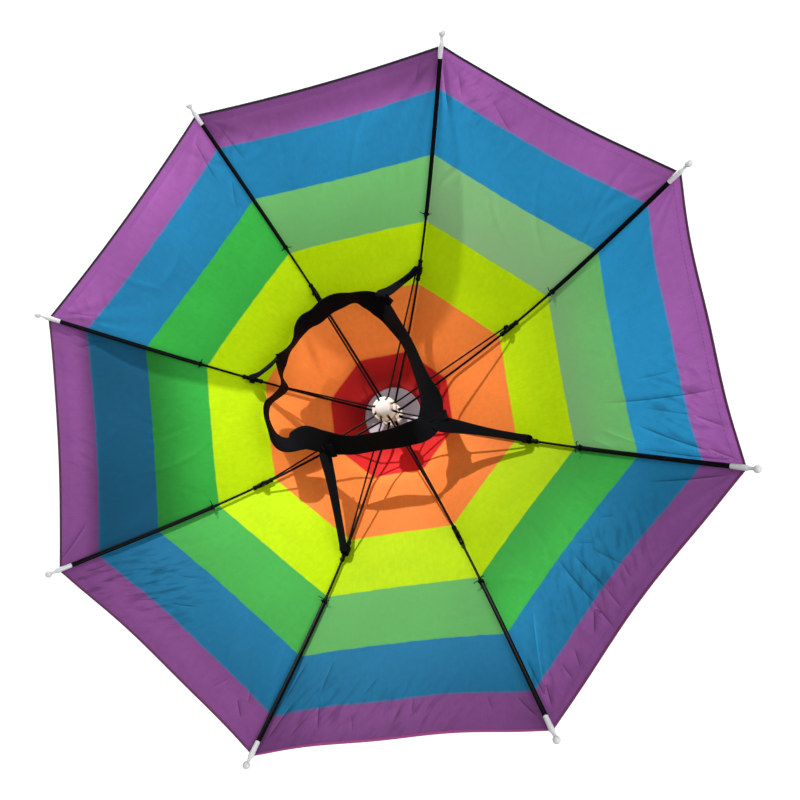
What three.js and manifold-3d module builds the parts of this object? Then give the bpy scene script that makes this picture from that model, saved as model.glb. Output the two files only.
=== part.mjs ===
// Umbrella hat, open and lying on its crown with the bowl facing up.
// Millimetres, +Z up, origin at the centre of the crown cap's flat underside.
// Rib 1 points along +Y and the others follow clockwise, seen from above.

import * as THREE from 'three';
import { mergeVertices } from 'three/addons/utils/BufferGeometryUtils.js';
import Module from 'manifold-3d';

const wasm = await Module();
wasm.setup();

// Frame of the hat
const ribCount = 8;
const clearance = 0.3;
const nudge = 0.01;
const rimRadius = 300;
const rimHeight = 153;
const pivotRadius = 135.5;
const pivotHeight = 45;

// Cloth
const clothWall = 1.2;
const hemWall = 1.8;
const hemWidth = 7;
const hemBow = 4;
const hemStep = 0.5;
const goreRise = 4;
const goreSkew = 0.8;
const clothHoleRadius = 6.4;
const clothGap = 0.6;
const crownBlend = 45;
const clothRows = 11;
const clothColumns = 6;

// Ribs and stretchers
const ribRadius = 1.2;
const ribSides = 6;
const ribSteps = 16;
const stretcherRadius = 0.8;
const stretcherSides = 6;
const pinRise = 4.6;
const pinRadius = 0.8;
const pinHeadRadius = 1.9;
const pinHeadThickness = 0.8;
const eyeRadius = 2.6;
const plateThickness = 1.2;
const roundSides = 10;

// Sleeves that join the stretchers to the ribs
const sleeveLength = 19;
const sleeveWall = 0.8;
const sleeveSides = 8;
const sleeveSteps = 3;
const boreOverlap = 1;

// Rib tips
const tipSleeveLength = 12;
const tipWall = 0.6;
const tipNeckRadius = 1.4;
const tipNeckLength = 5.2;
const tipBallRadius = 3.3;
const tipShoulder = 1;
const tipNeckStart = 2.4;
const tipBallSeat = 0.9;
const tipBallAngles = [-60, -20, 20, 60];
const tipSides = 8;

// Crown
const crownRadius = 28;
const capThickness = 3;
const capEdge = 2;
const discThickness = 1.6;
const notchRadius = 11;
const notchHeight = 6;
const notchFloor = 1.3;
const postRadius = 3.2;
const runnerRadius = 10.8;
const runnerBottom = 31;
const runnerShoulder = 42;
const runnerDome = 7;
const runnerDomeSteps = 4;
const runnerTopWall = 2;
const edgeChamfer = 1;
const hingeHeight = 38;
const slotInnerRadius = 7.5;
const turnedSides = 32;

// Head band and its straps
const bandWidth = 22;
const bandWall = 1.8;
const bandSteps = 84;
const strapWidth = 7;
const strapWall = 1.2;
const strapSteps = 12;
const strapTurnShare = 0.6;

const plasticWhite = { color: 0xe9e4d8, roughness: 0.45, metalness: 0 };
const blackSteel = { color: 0x16161a, roughness: 0.4, metalness: 0.3 };
const blackElastic = { color: 0x121214, roughness: 0.85, metalness: 0 };
const goreColours = [0x8fce34, 0x7cc442];

// A closed body: vertices merged, needle faces dropped, faces pointing out.
function solid(geometry) {
  geometry.deleteAttribute('normal');
  geometry.deleteAttribute('uv');
  const merged = mergeVertices(geometry, 1e-4);
  const place = merged.attributes.position;
  const kept = [];
  let volume = 0;
  const a = new THREE.Vector3();
  const b = new THREE.Vector3();
  const c = new THREE.Vector3();
  for (let i = 0; i < merged.index.count; i += 3) {
    const [p, q, r] = [0, 1, 2].map((corner) => merged.index.getX(i + corner));
    if (p === q || q === r || r === p) continue;
    kept.push([p, q, r]);
    a.fromBufferAttribute(place, p);
    b.fromBufferAttribute(place, q);
    c.fromBufferAttribute(place, r);
    volume += a.dot(b.cross(c));
  }
  const facing = volume < 0 ? kept.map(([p, q, r]) => [p, r, q]) : kept;
  merged.setIndex(facing.flat());
  return merged;
}

function toManifold(geometry) {
  const closed = solid(geometry);
  return new wasm.Manifold(new wasm.Mesh({
    numProp: 3,
    vertProperties: new Float32Array(closed.attributes.position.array),
    triVerts: new Uint32Array(closed.index.array),
  }));
}

function fromManifold(manifold) {
  const mesh = manifold.getMesh();
  const geometry = new THREE.BufferGeometry();
  geometry.setAttribute('position', new THREE.BufferAttribute(mesh.vertProperties, 3));
  geometry.setIndex(new THREE.BufferAttribute(mesh.triVerts, 1));
  return geometry;
}

// A body through rings of points. An open one is capped by joining each ring's
// first half to its second; a closed one joins its last ring to its first.
function loft(rings, isLoop = false) {
  const size = rings[0].length;
  const index = [];
  const spans = isLoop ? rings.length : rings.length - 1;
  for (let i = 0; i < spans; i += 1) {
    const here = i * size;
    const there = ((i + 1) % rings.length) * size;
    for (let j = 0; j < size; j += 1) {
      const k = (j + 1) % size;
      index.push(here + j, here + k, there + k);
      index.push(here + j, there + k, there + j);
    }
  }
  if (!isLoop) {
    const last = (rings.length - 1) * size;
    for (let j = 0; j < size / 2 - 1; j += 1) {
      const [p, q, r, s] = [j, j + 1, size - 2 - j, size - 1 - j];
      index.push(p, s, q, q, s, r);
      index.push(last + p, last + q, last + s, last + q, last + r, last + s);
    }
  }
  const geometry = new THREE.BufferGeometry();
  const numbers = rings.flat().flatMap((point) => point.toArray());
  geometry.setAttribute('position', new THREE.Float32BufferAttribute(numbers, 3));
  geometry.setIndex(index);
  return solid(geometry);
}

// Points of a circle about a centre, in the plane of two unit directions.
function circle(centre, radius, sides, across, along) {
  return Array.from({ length: sides }, (_, i) => {
    const turn = (2 * Math.PI * (i + 0.5)) / sides;
    return centre.clone()
      .addScaledVector(across, radius * Math.cos(turn))
      .addScaledVector(along, radius * Math.sin(turn));
  });
}

// A turned body about the Z axis, from a profile of [radius, height] rows.
function turned(profile, sides = turnedSides) {
  const points = profile.map(([radius, height]) => new THREE.Vector2(radius, height));
  return new THREE.LatheGeometry(points, sides).rotateX(Math.PI / 2);
}

// A washer or disc whose axis lies along Y, its near face at the height given.
function sideDisc(radius, thickness, near, sides = roundSides) {
  const geometry = new THREE.CylinderGeometry(radius, radius, thickness, sides);
  return geometry.translate(0, near + thickness / 2, 0);
}

const group = new THREE.Group();

function add(name, geometry, finish, azimuth = 0) {
  const mesh = new THREE.Mesh(geometry, new THREE.MeshStandardMaterial(finish));
  mesh.name = name;
  mesh.rotation.z = azimuth;
  group.add(mesh);
}

const step = (2 * Math.PI) / ribCount;
const halfStep = step / 2;
const ribAzimuth = (rib) => Math.PI / 2 - rib * step;

// Heights of the crown's stack, from the cap up
const clothFlat = capThickness + clearance + clothWall / 2;
const discBottom = clothFlat + clothWall / 2 + clearance;
const notchBottom = discBottom + discThickness + clearance;
const ribRootRadius = slotInnerRadius + clearance;
const ribRootHeight = notchBottom + notchFloor + clearance + ribRadius;

// The rib is a springy wire held at its root, pushed at the pivot by its
// stretcher and pulled at its tip by the cloth, so its bend grows evenly from
// the root to the pivot and dies away evenly to the tip.
const ribReach = rimRadius - ribRootRadius;
const pivotShare = (pivotRadius - ribRootRadius) / ribReach;

function bend(share) {
  if (share < pivotShare) return share ** 3 / (6 * pivotShare);
  const past = share - pivotShare;
  return pivotShare ** 2 / 6 + (pivotShare / 2) * past + past ** 2 / 2
    - past ** 3 / (6 * (1 - pivotShare));
}

const riseToPivot = pivotHeight - ribRootHeight;
const riseToRim = rimHeight - ribRootHeight;
const bendAmount = (riseToRim * pivotShare - riseToPivot)
  / (bend(1) * pivotShare - bend(pivotShare));
const straightRise = riseToRim - bendAmount * bend(1);

function ribHeight(radius) {
  const share = (radius - ribRootRadius) / ribReach;
  return ribRootHeight + straightRise * share + bendAmount * bend(share);
}

function ribSlope(radius) {
  return (ribHeight(radius + nudge) - ribHeight(radius - nudge)) / (2 * nudge);
}

// Directions at a place on a rib, in the rib's own plane: X out, Z up.
function ribFrame(radius) {
  const lean = Math.atan(ribSlope(radius));
  return {
    point: new THREE.Vector3(radius, 0, ribHeight(radius)),
    outward: new THREE.Vector3(Math.cos(lean), 0, Math.sin(lean)),
    upward: new THREE.Vector3(-Math.sin(lean), 0, Math.cos(lean)),
  };
}

const sideways = new THREE.Vector3(0, 1, 0);

function spread(from, to, count) {
  return Array.from({ length: count + 1 }, (_, i) => from + ((to - from) * i) / count);
}

// Ribs
const tipLean = Math.cos(Math.atan(ribSlope(rimRadius)));
const ribEndRadius = rimRadius - clearance * tipLean;

function ribGeometry() {
  const rings = spread(ribRootRadius, ribEndRadius, ribSteps).map((radius) => {
    const frame = ribFrame(radius);
    return circle(frame.point, ribRadius, ribSides, sideways, frame.upward);
  });
  return loft(rings);
}

// Rib tips: a sleeve bored blind for the rib's end, a neck and a ball
const boreRadius = ribRadius + clearance;
const tipSleeveRadius = boreRadius + tipWall;

function tipGeometry() {
  const ballRise = tipNeckLength + tipBallRadius * tipBallSeat;
  const ball = tipBallAngles.map((angle) => {
    const turn = THREE.MathUtils.degToRad(angle);
    return [tipBallRadius * Math.cos(turn), ballRise + tipBallRadius * Math.sin(turn)];
  });
  const profile = [
    [0, 0],
    [boreRadius, 0],
    [boreRadius, -tipSleeveLength],
    [tipSleeveRadius, -tipSleeveLength],
    [tipSleeveRadius, tipShoulder],
    [tipNeckRadius, tipNeckStart],
    ...ball,
    [0, ballRise + tipBallRadius],
  ];
  const frame = ribFrame(rimRadius);
  const lean = Math.atan(ribSlope(rimRadius));
  return solid(turned(profile, tipSides)
    .rotateY(Math.PI / 2 - lean)
    .translate(frame.point.x, 0, frame.point.z));
}

// Rib joints: a crimped sleeve round the rib, an ear on it and the rivet
const sleeveRadius = boreRadius + sleeveWall;
const eyeNear = plateThickness / 2 + clearance;
const eyeFar = eyeNear + plateThickness;
const pivotFrame = ribFrame(pivotRadius);
const pin = pivotFrame.point.clone().addScaledVector(pivotFrame.upward, pinRise);

function sleeveTube(radius, overlap) {
  const reach = (sleeveLength / 2 + overlap) * pivotFrame.outward.x;
  const rings = spread(pivotRadius - reach, pivotRadius + reach, sleeveSteps).map((place) => {
    const frame = ribFrame(place);
    return circle(frame.point, radius, sleeveSides, sideways, frame.upward);
  });
  return toManifold(loft(rings));
}

function jointGeometry() {
  const lean = Math.atan(ribSlope(pivotRadius));
  const earFoot = boreRadius + sleeveWall / 2;
  const earHeight = pinRise - earFoot;
  const foot = new THREE.BoxGeometry(2 * eyeRadius, plateThickness, earHeight)
    .translate(0, 0, earFoot + earHeight / 2);
  const crown = sideDisc(eyeRadius, plateThickness, -plateThickness / 2).translate(0, 0, pinRise);
  const rivet = sideDisc(pinRadius, eyeFar + clearance, 0).translate(0, 0, pinRise);
  const head = sideDisc(pinHeadRadius, pinHeadThickness, eyeFar + clearance)
    .translate(0, 0, pinRise);
  const ear = [foot, crown, rivet, head].map((piece) => toManifold(piece
    .rotateY(-lean)
    .translate(pivotFrame.point.x, 0, pivotFrame.point.z)));
  const tube = sleeveTube(sleeveRadius, 0).subtract(sleeveTube(boreRadius, boreOverlap));
  return fromManifold(ear.reduce((whole, piece) => whole.add(piece), tube));
}

// Stretchers: a thin wire from the runner's slot to an eye on the rivet
const stretcherRoot = new THREE.Vector3(slotInnerRadius + clearance, 0, hingeHeight);

function stretcherGeometry() {
  const eyeCentre = pin.clone().setY((eyeNear + eyeFar) / 2);
  const along = eyeCentre.clone().sub(stretcherRoot).normalize();
  const upward = along.clone().cross(sideways).negate().normalize();
  const across = upward.clone().cross(along);
  const inside = (eyeRadius + pinRadius + clearance) / 2;
  const end = eyeCentre.clone().addScaledVector(along, -inside);
  const wire = toManifold(loft([stretcherRoot, end].map((centre) => (
    circle(centre, stretcherRadius, stretcherSides, across, upward)
  ))));
  const [ring, hole] = [eyeRadius, pinRadius + clearance].map((radius, isHole) => (
    toManifold(sideDisc(radius, plateThickness + 2 * isHole, eyeNear - isHole)
      .translate(pin.x, 0, pin.z))
  ));
  return fromManifold(wire.add(ring).subtract(hole));
}

// Gores: flat across from rib to rib but for a slight rise, clamped flat at the
// crown and hanging clear below the ribs everywhere else.
const clothOffset = sleeveRadius + clothGap + clothWall / 2;
const clampRadius = crownRadius / Math.cos(halfStep) + clearance;

function clothHeight(radius) {
  const underRib = ribHeight(radius) - clothOffset * Math.hypot(1, ribSlope(radius));
  const share = THREE.MathUtils.smoothstep(radius, clampRadius, clampRadius + crownBlend);
  return clothFlat + (underRib - clothFlat) * share;
}

function gorePoint(radius, share, side) {
  const flat = Math.cos(halfStep);
  const rise = clothHeight(radius + nudge) - clothHeight(radius - nudge);
  const normal = new THREE.Vector2(-rise, 2 * nudge * flat).normalize();
  const half = (radius > rimRadius - hemWidth ? hemWall : clothWall) / 2;
  const middle = 1 - share ** 2;
  const reach = THREE.MathUtils.smoothstep(radius, clampRadius, rimRadius);
  const x = radius * flat + side * half * normal.x;
  const z = clothHeight(radius) + side * half * normal.y;
  const halfWidth = x * Math.tan(halfStep) - clearance / (2 * flat);
  return new THREE.Vector3(
    x - hemBow * middle * reach ** 3,
    share * halfWidth,
    z + goreRise * middle * Math.sin(Math.PI * reach ** goreSkew),
  );
}

function goreGeometry() {
  const hemStart = rimRadius - hemWidth;
  const radii = [
    clothHoleRadius,
    ...spread(clampRadius, hemStart, clothRows),
    hemStart + hemStep,
    rimRadius,
  ];
  const shares = spread(-1, 1, clothColumns);
  const rings = radii.map((radius) => [
    ...shares.map((share) => gorePoint(radius, share, 1)),
    ...shares.toReversed().map((share) => gorePoint(radius, share, -1)),
  ]);
  return loft(rings);
}

// Crown pieces
const postBore = postRadius + clearance;
const runnerBoreTop = runnerShoulder - runnerTopWall;

function slots(body, width, floor, height) {
  const length = 2 * runnerRadius;
  return Array.from({ length: ribCount }, (_, i) => toManifold(
    new THREE.BoxGeometry(length, width, height)
      .translate(slotInnerRadius + length / 2, 0, floor + height / 2)
      .rotateZ(i * step),
  )).reduce((whole, slot) => whole.subtract(slot), body);
}

function notchGeometry() {
  const top = notchBottom + notchHeight;
  const body = toManifold(turned([
    [postBore, notchBottom],
    [notchRadius, notchBottom],
    [notchRadius, top - edgeChamfer],
    [notchRadius - edgeChamfer, top],
    [postBore, top],
    [postBore, notchBottom],
  ]));
  const width = 2 * (ribRadius + clearance);
  return fromManifold(slots(body, width, notchBottom + notchFloor, notchHeight));
}

function runnerGeometry() {
  const dome = spread(0, 1, runnerDomeSteps).map((share) => {
    const turn = (share * Math.PI) / 2;
    return [runnerRadius * Math.cos(turn), runnerShoulder + runnerDome * Math.sin(turn)];
  });
  const body = toManifold(turned([
    [0, runnerBoreTop],
    [postBore, runnerBoreTop],
    [postBore, runnerBottom],
    [runnerRadius - edgeChamfer, runnerBottom],
    [runnerRadius, runnerBottom + edgeChamfer],
    ...dome,
  ]));
  const width = 2 * (stretcherRadius + clearance);
  const floor = hingeHeight - stretcherRadius - clearance;
  return fromManifold(slots(body, width, floor, runnerDome + runnerShoulder));
}

add('crown_cap', solid(turned([
  [0, 0],
  [crownRadius - capEdge, 0],
  [crownRadius, capEdge],
  [crownRadius, capThickness],
  [0, capThickness],
])), plasticWhite);

add('crown_disc', solid(turned([
  [postBore, discBottom],
  [crownRadius, discBottom],
  [crownRadius, discBottom + discThickness / 2],
  [crownRadius - discThickness / 2, discBottom + discThickness],
  [postBore, discBottom + discThickness],
  [postBore, discBottom],
])), plasticWhite);

add('crown_post', solid(turned([
  [0, capThickness + clearance],
  [postRadius, capThickness + clearance],
  [postRadius, runnerBoreTop - clearance],
  [0, runnerBoreTop - clearance],
], roundSides * 2)), plasticWhite);

add('top_notch', notchGeometry(), plasticWhite);
add('runner', runnerGeometry(), plasticWhite);

for (let rib = 0; rib < ribCount; rib += 1) {
  const azimuth = ribAzimuth(rib);
  const number = rib + 1;
  const colour = { color: goreColours[rib % 2], roughness: 0.6, metalness: 0 };
  add(`canopy_gore_${number}`, goreGeometry(), colour, azimuth - halfStep);
  add(`rib_${number}`, ribGeometry(), blackSteel, azimuth);
  add(`rib_tip_${number}`, tipGeometry(), plasticWhite, azimuth);
  add(`rib_joint_${number}`, jointGeometry(), blackSteel, azimuth);
  add(`stretcher_${number}`, stretcherGeometry(), blackSteel, azimuth);
}

// Head band: a loop of flat elastic that lies on the stretchers, clockwise from
// between ribs 8 and 1. x and y are shares of the pivot radius; lean is in
// degrees, 0 standing on its edge, 90 lying flat with its top edge outwards and
// more than 90 with that edge turned down; rise is how far its straps hold it off
// the stretchers, as a share of its width.
const bandTable = [
  { x: -0.390, y: 0.695, lean: 6, rise: 0 },
  { x: -0.305, y: 0.702, lean: 28, rise: 0 },
  { x: -0.211, y: 0.687, lean: 52, rise: 0 },
  { x: -0.110, y: 0.628, lean: 42, rise: 0 },
  { x: -0.014, y: 0.538, lean: 32, rise: 0 },
  { x: 0.080, y: 0.437, lean: 30, rise: 0 },
  { x: 0.170, y: 0.320, lean: 34, rise: 0.05 },
  { x: 0.265, y: 0.197, lean: 46, rise: 0.2 },
  { x: 0.337, y: 0.091, lean: 78, rise: 0.4 },
  { x: 0.342, y: -0.064, lean: 96, rise: 0.45 },
  { x: 0.234, y: -0.148, lean: 124, rise: 0.4 },
  { x: 0.074, y: -0.229, lean: 142, rise: 0.35 },
  { x: -0.122, y: -0.306, lean: 138, rise: 0.35 },
  { x: -0.315, y: -0.325, lean: 120, rise: 0.4 },
  { x: -0.470, y: -0.329, lean: 98, rise: 0.4 },
  { x: -0.577, y: -0.397, lean: 50, rise: 0.2 },
  { x: -0.683, y: -0.349, lean: 2, rise: 0.05 },
  { x: -0.760, y: -0.265, lean: -9, rise: 0 },
  { x: -0.786, y: -0.176, lean: -10, rise: 0 },
  { x: -0.747, y: -0.094, lean: -8, rise: 0 },
  { x: -0.713, y: -0.013, lean: -4, rise: 0 },
  { x: -0.762, y: 0.064, lean: -12, rise: 0 },
  { x: -0.779, y: 0.155, lean: 4, rise: 0 },
  { x: -0.745, y: 0.247, lean: -14, rise: 0 },
  { x: -0.716, y: 0.322, lean: -12, rise: 0 },
  { x: -0.698, y: 0.399, lean: 6, rise: 0 },
  { x: -0.666, y: 0.472, lean: 18, rise: 0 },
  { x: -0.608, y: 0.524, lean: 20, rise: 0 },
  { x: -0.559, y: 0.592, lean: 22, rise: 0 },
  { x: -0.484, y: 0.653, lean: 20, rise: 0 },
];

const bandPath = new THREE.CatmullRomCurve3(bandTable.map(({ x, y }) => (
  new THREE.Vector3(x * pivotRadius, y * pivotRadius, 0)
)), true);
const bandLeanAndRise = new THREE.CatmullRomCurve3(bandTable.map(({ lean, rise }) => (
  new THREE.Vector3(lean, rise, 0)
)), true);
const up = new THREE.Vector3(0, 0, 1);

function stretcherTop(radius) {
  const share = (radius - stretcherRoot.x) / (pin.x - stretcherRoot.x);
  return hingeHeight + (pin.z - hingeHeight) * share + stretcherRadius;
}

// The band's middle, the direction across its width and its face's direction.
function bandFrame(share) {
  const point = bandPath.getPoint(share);
  const turn = bandLeanAndRise.getPoint(share);
  const lean = THREE.MathUtils.degToRad(turn.x);
  const lift = clearance + bandWidth * Math.max(turn.y, 0);
  const depth = (bandWidth * Math.abs(Math.cos(lean)) + bandWall * Math.abs(Math.sin(lean))) / 2;
  point.z = stretcherTop(Math.hypot(point.x, point.y)) + lift + depth;
  const forward = bandPath.getTangent(share);
  const outward = up.clone().cross(forward);
  const across = up.clone().multiplyScalar(Math.cos(lean))
    .addScaledVector(outward, Math.sin(lean));
  const face = forward.clone().cross(across);
  return { point, across, face };
}

const ribbonCorners = [[1, 1], [1, -1], [-1, -1], [-1, 1]];

function ribbonRing({ point, across, face }, width, wall) {
  return ribbonCorners.map(([side, cover]) => point.clone()
    .addScaledVector(across, (side * width) / 2)
    .addScaledVector(face, (cover * wall) / 2));
}

const bandRings = Array.from({ length: bandSteps }, (_, i) => (
  ribbonRing(bandFrame(i / bandSteps), bandWidth, bandWall)
));
add('head_band', loft(bandRings, true), blackElastic);

// Straps: each is sewn to one edge of the band and lies on the rib joint that
// it is sewn round. place counts rows of the band's table; edge is 1 for the
// band's top edge and -1 for its lower one.
const strapTable = [
  { rib: 1, place: 2, edge: 1 },
  { rib: 3, place: 8.6, edge: 1 },
  { rib: 5, place: 12.9, edge: 1 },
  { rib: 7, place: 22, edge: 1 },
];
const strapShare = strapWidth / 2 / bandPath.getLength();
// The seam's gap leaves room for an edge that curves as tightly as the band is wide.
const seamGap = clearance + strapWidth ** 2 / (8 * bandWidth);

function strapGeometry({ rib, place, edge }) {
  const middle = place / bandTable.length;
  const seam = ribbonCorners.map(([side, cover]) => {
    const band = bandFrame(middle + side * strapShare);
    return band.point
      .addScaledVector(band.across, edge * (bandWidth / 2 + seamGap))
      .addScaledVector(band.face, (edge * cover * strapWall) / 2);
  });
  const band = bandFrame(middle);
  const away = band.across.clone().multiplyScalar(edge);
  const leave = band.point.clone().addScaledVector(away, bandWidth / 2 + strapWall);
  const turn = ribAzimuth(rib - 1);
  const radial = new THREE.Vector3(Math.cos(turn), Math.sin(turn), 0);
  const seatHeight = pin.z + eyeRadius + clearance + strapWall / 2;
  const seat = radial.clone().multiplyScalar(pin.x).setZ(seatHeight);
  const landing = leave.clone().sub(seat).setZ(0).setLength(strapWidth).add(seat);
  const path = new THREE.CatmullRomCurve3([
    leave,
    leave.clone().addScaledVector(away, 2 * strapWall),
    landing,
    seat,
    seat.clone().addScaledVector(radial, eyeRadius),
  ]);
  const acrossBand = band.face.clone().cross(band.across).negate();
  const acrossRib = radial.clone().cross(up);
  const freeRings = spread(0, 1, strapSteps).map((share) => {
    const forward = path.getTangent(share);
    const across = acrossBand.clone().lerp(acrossRib, THREE.MathUtils.smoothstep(share, 0, strapTurnShare));
    across.addScaledVector(forward, -across.dot(forward)).normalize();
    return ribbonRing({
      point: path.getPoint(share),
      across,
      face: across.clone().cross(forward),
    }, strapWidth, strapWall);
  });
  return loft([seam, ...freeRings]);
}

strapTable.forEach((row) => add(`band_strap_${row.rib}`, strapGeometry(row), blackElastic));

export default group;
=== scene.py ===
# Umbrella hat: an open rainbow canopy on a spring-wire frame with an elastic head band,
# lying on its crown with the bowl facing up. Metres, +Z up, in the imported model's frame.

import math

import bpy
import numpy as np
from mathutils import Matrix


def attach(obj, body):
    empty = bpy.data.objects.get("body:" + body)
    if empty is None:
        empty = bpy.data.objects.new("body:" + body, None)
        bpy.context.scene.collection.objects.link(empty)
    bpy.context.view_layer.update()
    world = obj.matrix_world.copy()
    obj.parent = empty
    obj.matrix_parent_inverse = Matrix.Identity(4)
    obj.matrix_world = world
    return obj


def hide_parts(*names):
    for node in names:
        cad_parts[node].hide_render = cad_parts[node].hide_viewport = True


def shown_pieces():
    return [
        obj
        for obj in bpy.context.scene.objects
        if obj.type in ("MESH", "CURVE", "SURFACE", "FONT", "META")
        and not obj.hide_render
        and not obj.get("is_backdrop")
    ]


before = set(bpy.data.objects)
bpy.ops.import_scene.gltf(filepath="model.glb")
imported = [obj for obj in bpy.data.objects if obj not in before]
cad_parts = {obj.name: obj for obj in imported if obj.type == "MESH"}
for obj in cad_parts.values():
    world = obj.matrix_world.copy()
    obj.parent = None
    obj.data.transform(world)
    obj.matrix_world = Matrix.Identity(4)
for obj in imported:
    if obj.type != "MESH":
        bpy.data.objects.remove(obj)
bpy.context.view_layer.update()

# The camera: a phone held above the bowl, a little to the right of its middle and
# tipped 71 degrees down. The picture is a crop, so the lens is shifted to match.
camera_place = (0.2236, -0.1006, 0.8011)
camera_right = (0.9289, 0.2542, -0.2692)
camera_up = (-0.2114, 0.9610, 0.1782)
camera_back = (0.3041, -0.1086, 0.9464)
camera_data = bpy.data.cameras.new("camera")
camera_data.angle = math.radians(50)
camera_data.shift_x = 0.05
camera_data.shift_y = 0.0225
camera_data.clip_start = 0.01
camera_data.clip_end = 50
camera = bpy.data.objects.new("camera", camera_data)
camera_axes = np.eye(4)
camera_axes[:3] = np.column_stack([camera_right, camera_up, camera_back, camera_place])
camera.matrix_world = Matrix(camera_axes.tolist())
bpy.context.scene.collection.objects.link(camera)
bpy.context.scene.camera = camera
bpy.context.scene.view_settings.view_transform = "Standard"

# The canopy: eight triangular gores of thin nylon with printed rainbow bands, sewn
# along the ribs, clamped between cap and disc at the crown and held tight by the
# ribs. Its hem is turned in and stitched, and puckers towards the rib tips.
rib_count = 8
rib_step = 2 * math.pi / rib_count
half_step = rib_step / 2
rim_radius = 0.300
rim_height = 0.153
pivot_radius = 0.1355
pivot_height = 0.045
rib_root_radius = 0.0078
rib_root_height = 0.0095
crown_radius = 0.028
clamp_radius = crown_radius / math.cos(half_step) + 0.0003
cloth_flat = 0.0039
cloth_offset = 0.0033
crown_blend = 0.045
hem_bow = 0.004
hem_width = 0.007
hem_fold_height = 0.0004
gore_rise = 0.004
fan_height = 0.00075
flutter_height = 0.0016


def rib_azimuth(number):
    """Rib 1 points along +Y and the others follow clockwise."""
    return math.pi / 2 - (number - 1) * rib_step


def smooth(value, low, high):
    """A step from 0 at low to 1 at high that starts and ends level."""
    share = np.clip((value - low) / (high - low), 0, 1)
    return share * share * (3 - 2 * share)


pivot_share = (pivot_radius - rib_root_radius) / (rim_radius - rib_root_radius)


def bend(share):
    """The bend of a wire held at its root, pushed at the pivot and pulled at its tip:
    its curvature grows evenly as far as the pivot and then dies away evenly."""
    past = np.maximum(share - pivot_share, 0)
    before = np.minimum(share, pivot_share) ** 3 / (6 * pivot_share)
    return before + pivot_share * past / 2 + past**2 / 2 - past**3 / (6 * (1 - pivot_share))


rise_to_pivot = pivot_height - rib_root_height
rise_to_rim = rim_height - rib_root_height
bend_amount = (rise_to_rim * pivot_share - rise_to_pivot) / (
    bend(1.0) * pivot_share - bend(pivot_share)
)
straight_rise = rise_to_rim - bend_amount * bend(1.0)


def rib_height(radius):
    """Height of a rib's middle line: its straight rise and its bend added."""
    share = (radius - rib_root_radius) / (rim_radius - rib_root_radius)
    return rib_root_height + straight_rise * share + bend_amount * bend(share)


def rib_slope(radius):
    """Rise of the rib for each metre outwards."""
    return (rib_height(radius + 1e-5) - rib_height(radius - 1e-5)) / 2e-5


def cloth_height(radius):
    """The cloth lies flat under the disc and blends out to run just below the ribs."""
    under_rib = rib_height(radius) - cloth_offset * np.hypot(1, rib_slope(radius))
    return cloth_flat + (under_rib - cloth_flat) * smooth(
        radius, clamp_radius, clamp_radius + crown_blend
    )


def turn_about_z(points, angle):
    """Points turned about the Z axis by an angle, which may be an array of angles."""
    cos, sin = np.cos(angle), np.sin(angle)
    x, y, z = points[..., 0], points[..., 1], points[..., 2]
    return np.stack([x * cos - y * sin, x * sin + y * cos, z + 0 * cos], -1)


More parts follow.
